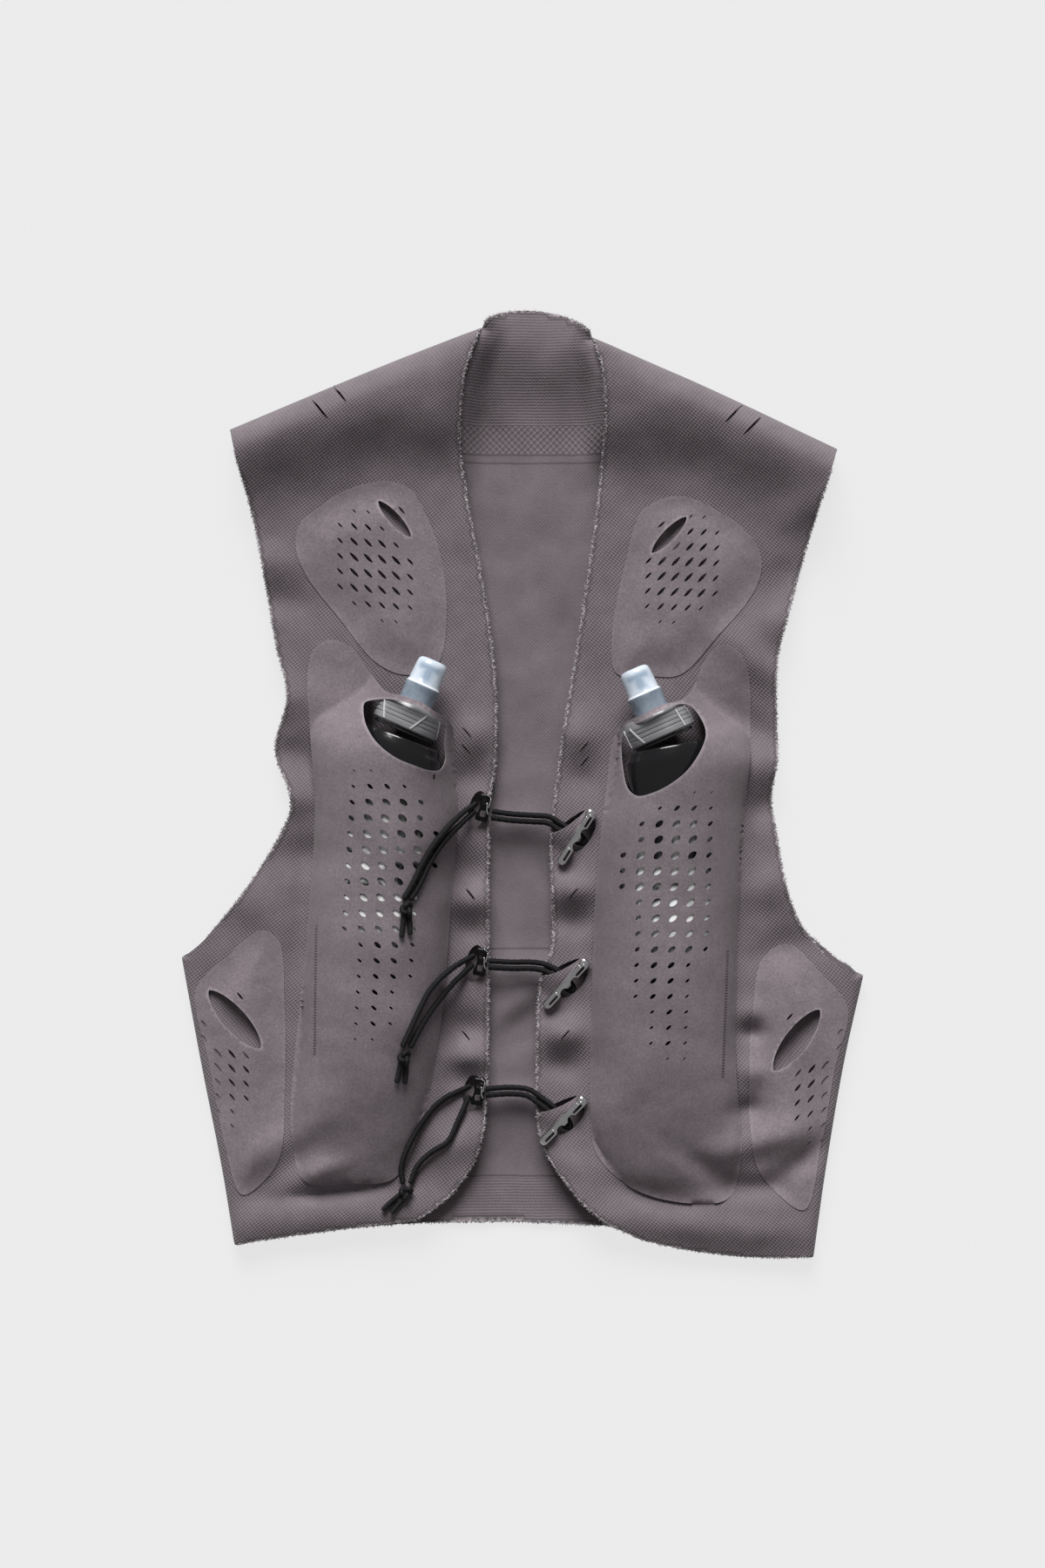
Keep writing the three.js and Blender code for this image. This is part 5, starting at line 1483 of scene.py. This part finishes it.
# A rounded slot right through a part
def slotCutter(slot, along, thick):
    return roundBar(slot["length"], slot["width"], thick * 3, (along, slot["aside"], thick / 2),
                    slot["bevel"])


def roundCutter(radius, depth, corners, location):
    return newShape(bpy.ops.mesh.primitive_cylinder_add, vertices=corners, radius=radius * mm,
                    depth=depth * mm, location=[c * mm for c in location])


metalSmooth = 40  # degrees


def finishMetal(piece, name, spot, level, slot, node):
    piece.name = name
    x, y, turn = spot
    placePiece(piece, (x, y, level), (0, 0, turn))
    smoothUnder(piece, metalSmooth)
    settle(piece, slot, node)


# Toggle bars: rounded bar with a ball end, a bright ridge, two rimmed slots and two notches for the cord
toggle = {
    "length": 46.0, "width": 6.8, "thick": 6.0, "bevel": 2.6, "level": 15.9,
    "ball": {"length": 7.6, "width": 8.2, "over": 0.6, "inset": 3.4, "aside": 0.2, "bevel": 2.9},
    "ridge": {"short": 9, "width": 1.3, "thick": 1.2, "along": -2, "inset": 1.6, "bevel": 0.5},
    "slots": {"at": (-15, 13.5), "length": 9, "width": 1.9, "aside": -1.2, "bevel": 0.85},
    "rim": {"length": 2.6, "width": 2.4, "thick": 1.4, "bevel": 0.6},
    "notches": {"at": (-5.4, 5.4), "radius": 4.0, "out": 1.3, "depth": 20, "corners": 32},
}


def addToggles():
    length, width, thick = toggle["length"], toggle["width"], toggle["thick"]
    ball, ridge, rim = toggle["ball"], toggle["ridge"], toggle["rim"]
    slots, notches = toggle["slots"], toggle["notches"]
    for number, closure in enumerate(closures, 1):
        bar = roundBar(length, width, thick, (0, 0, thick / 2), toggle["bevel"])
        extras = [roundBar(ball["length"], ball["width"], thick + ball["over"],
                           (length / 2 - ball["inset"], ball["aside"], thick / 2), ball["bevel"]),
                  roundBar(length - ridge["short"], ridge["width"], ridge["thick"],
                           (ridge["along"], width / 2 - ridge["inset"], thick), ridge["bevel"])]
        rimSize = (slots["length"] + rim["length"], slots["width"] + rim["width"], rim["thick"])
        for middle in slots["at"]:
            extras.append(roundBar(*rimSize, (middle, slots["aside"], thick), rim["bevel"]))
        joinPieces(bar, extras)
        for middle in notches["at"]:
            cutWith(bar, roundCutter(notches["radius"], notches["depth"], notches["corners"],
                                     (middle, -width / 2 - notches["out"], thick / 2)))
        for middle in slots["at"]:
            cutWith(bar, slotCutter(slots, middle, thick))
        finishMetal(bar, f"metal_toggle_{number}", closure["toggle"], toggle["level"], "bright_metal",
                    f"toggle_bar_{number}")


addToggles()

# Cord locks: a dark block with a waisted side, two holes for the cords and bright prongs on top
lock = {
    "length": 20.0, "width": 9.0, "thick": 6.5, "under": 0.5, "bevel": 1.6, "level": 15.4,
    "waist": {"radius": 12, "out": 10.4, "depth": 30, "corners": 40},
    "holes": {"at": (-4.5, 4.5), "length": 4.6, "width": 5.0, "aside": -0.6, "bevel": 1.2},
    "prong": {"over": 0.8, "width": 1.0, "thick": 1.2, "sunk": 0.75, "bevel": 0.4},
    "prongs": [((9.4, -1.0), (8.0, -3.6)), ((-1.8, -2.6), (3.4, -1.9)), ((-1.4, -2.6), (-4.0, -3.8)),
               ((7.0, -3.9), (0.6, -3.4))],
}


def lockProng(start, end):
    prong = lock["prong"]
    length = math.dist(start, end) + prong["over"]
    piece = roundBar(length, prong["width"], prong["thick"], (0, 0, 0), prong["bevel"])
    tilt = math.atan2(end[1] - start[1], end[0] - start[0]) / degrees
    middle = ((start[0] + end[0]) / 2, (start[1] + end[1]) / 2, lock["thick"] - prong["sunk"])
    placePiece(piece, middle, (0, 0, tilt))
    piece.data.materials.append(finishes["bright_metal"])
    return piece


def addLocks():
    length, width, thick, under = (lock[part] for part in ("length", "width", "thick", "under"))
    waist, holes = lock["waist"], lock["holes"]
    for number, closure in enumerate(closures, 1):
        block = roundBar(length, width, thick - 2 * under, (0, 0, thick / 2 - under), lock["bevel"])
        cutWith(block, roundCutter(waist["radius"], waist["depth"], waist["corners"],
                                   (0, width / 2 + waist["out"], 0)))
        for middle in holes["at"]:
            cutWith(block, slotCutter(holes, middle, thick))
        block.data.materials.append(finishes["dark_metal"])
        joinPieces(block, [lockProng(start, end) for start, end in lock["prongs"]])
        finishMetal(block, f"lock_block_{number}", closure["lock"], lock["level"], "dark_metal",
                    f"cord_lock_{number}")


addLocks()
print("toggles and locks made")

# Plain dashes printed down each long pocket
dash = {"long": 1.1, "wide": 1.9, "every": 2.0, "thick": 0.25, "sunk": 0.02}
boxQuads = ((4, 5, 6, 7), (3, 2, 1, 0), (0, 1, 5, 4), (1, 2, 6, 5), (2, 3, 7, 6), (3, 0, 4, 7))


def addDashes():
    for name, pocket in flaskPockets.items():
        sign = sides[name]["sign"]
        verts, faces = [], []
        start, end = (Vector((sign * out, y)) for out, y in pocket["marks"])
        way = (end - start).normalized()
        aside = Vector((-way.y, way.x)) * dash["wide"] / 2
        for i in range(int((end - start).length / dash["every"])):
            foot = start + way * dash["every"] * i
            tip = foot + way * dash["long"]
            faces += [tuple(len(verts) + k for k in quad) for quad in boxQuads]
            for lift in (0, dash["thick"]):
                for spot in (foot - aside, tip - aside, tip + aside, foot + aside):
                    verts.append((spot.x, spot.y, clothTop(spot.x, spot.y) - dash["sunk"] + lift))
        piece = meshPiece(f"printed_dashes_{name}", verts, faces, False)
        piece.data.materials.append(finishes["ink"])
        settle(piece, "pocket_cloth")


addDashes()

# Floor and light: a pale sweep that hardly shows a shadow, a broad light beyond the collar and an even sky
light = {"sky": 0.20, "sun": 4.6, "sunAngle": 34, "sunFrom": (-0.08, 0.82, 0.55), "sunAway": 2}
floorLook = {"size": 8, "level": -0.0005, "colour": (0.08, 0.08, 0.08),
             "shader": {"Emission Color": (1, 1, 1), "Emission Strength": 0.75, "Roughness": 0.9,
                        "Specular IOR Level": 0.1}}


def addStage():
    middle = (0, 0, floorLook["level"])
    floor = newShape(bpy.ops.mesh.primitive_plane_add, size=floorLook["size"], location=middle)
    floor.name = "pale_floor"
    finish = Finish("pale floor")
    finish.surface(floorLook["colour"], floorLook["shader"])
    floor.data.materials.append(finish.material)
    bpy.ops.object.light_add(type="SUN", location=Vector(light["sunFrom"]) * light["sunAway"])
    sun = bpy.context.object
    sun.rotation_euler = Vector(light["sunFrom"]).to_track_quat("Z", "Y").to_euler()
    sun.data.energy = light["sun"]
    sun.data.angle = light["sunAngle"] * degrees
    world = bpy.data.worlds.new("soft sky")
    world.use_nodes = True
    sky = world.node_tree.nodes["Background"]
    sky.inputs["Color"].default_value = (1, 1, 1, 1)
    sky.inputs["Strength"].default_value = light["sky"]
    bpy.context.scene.world = world
    bpy.context.scene.view_settings.view_transform = "Standard"


addStage()
print("stage lit")
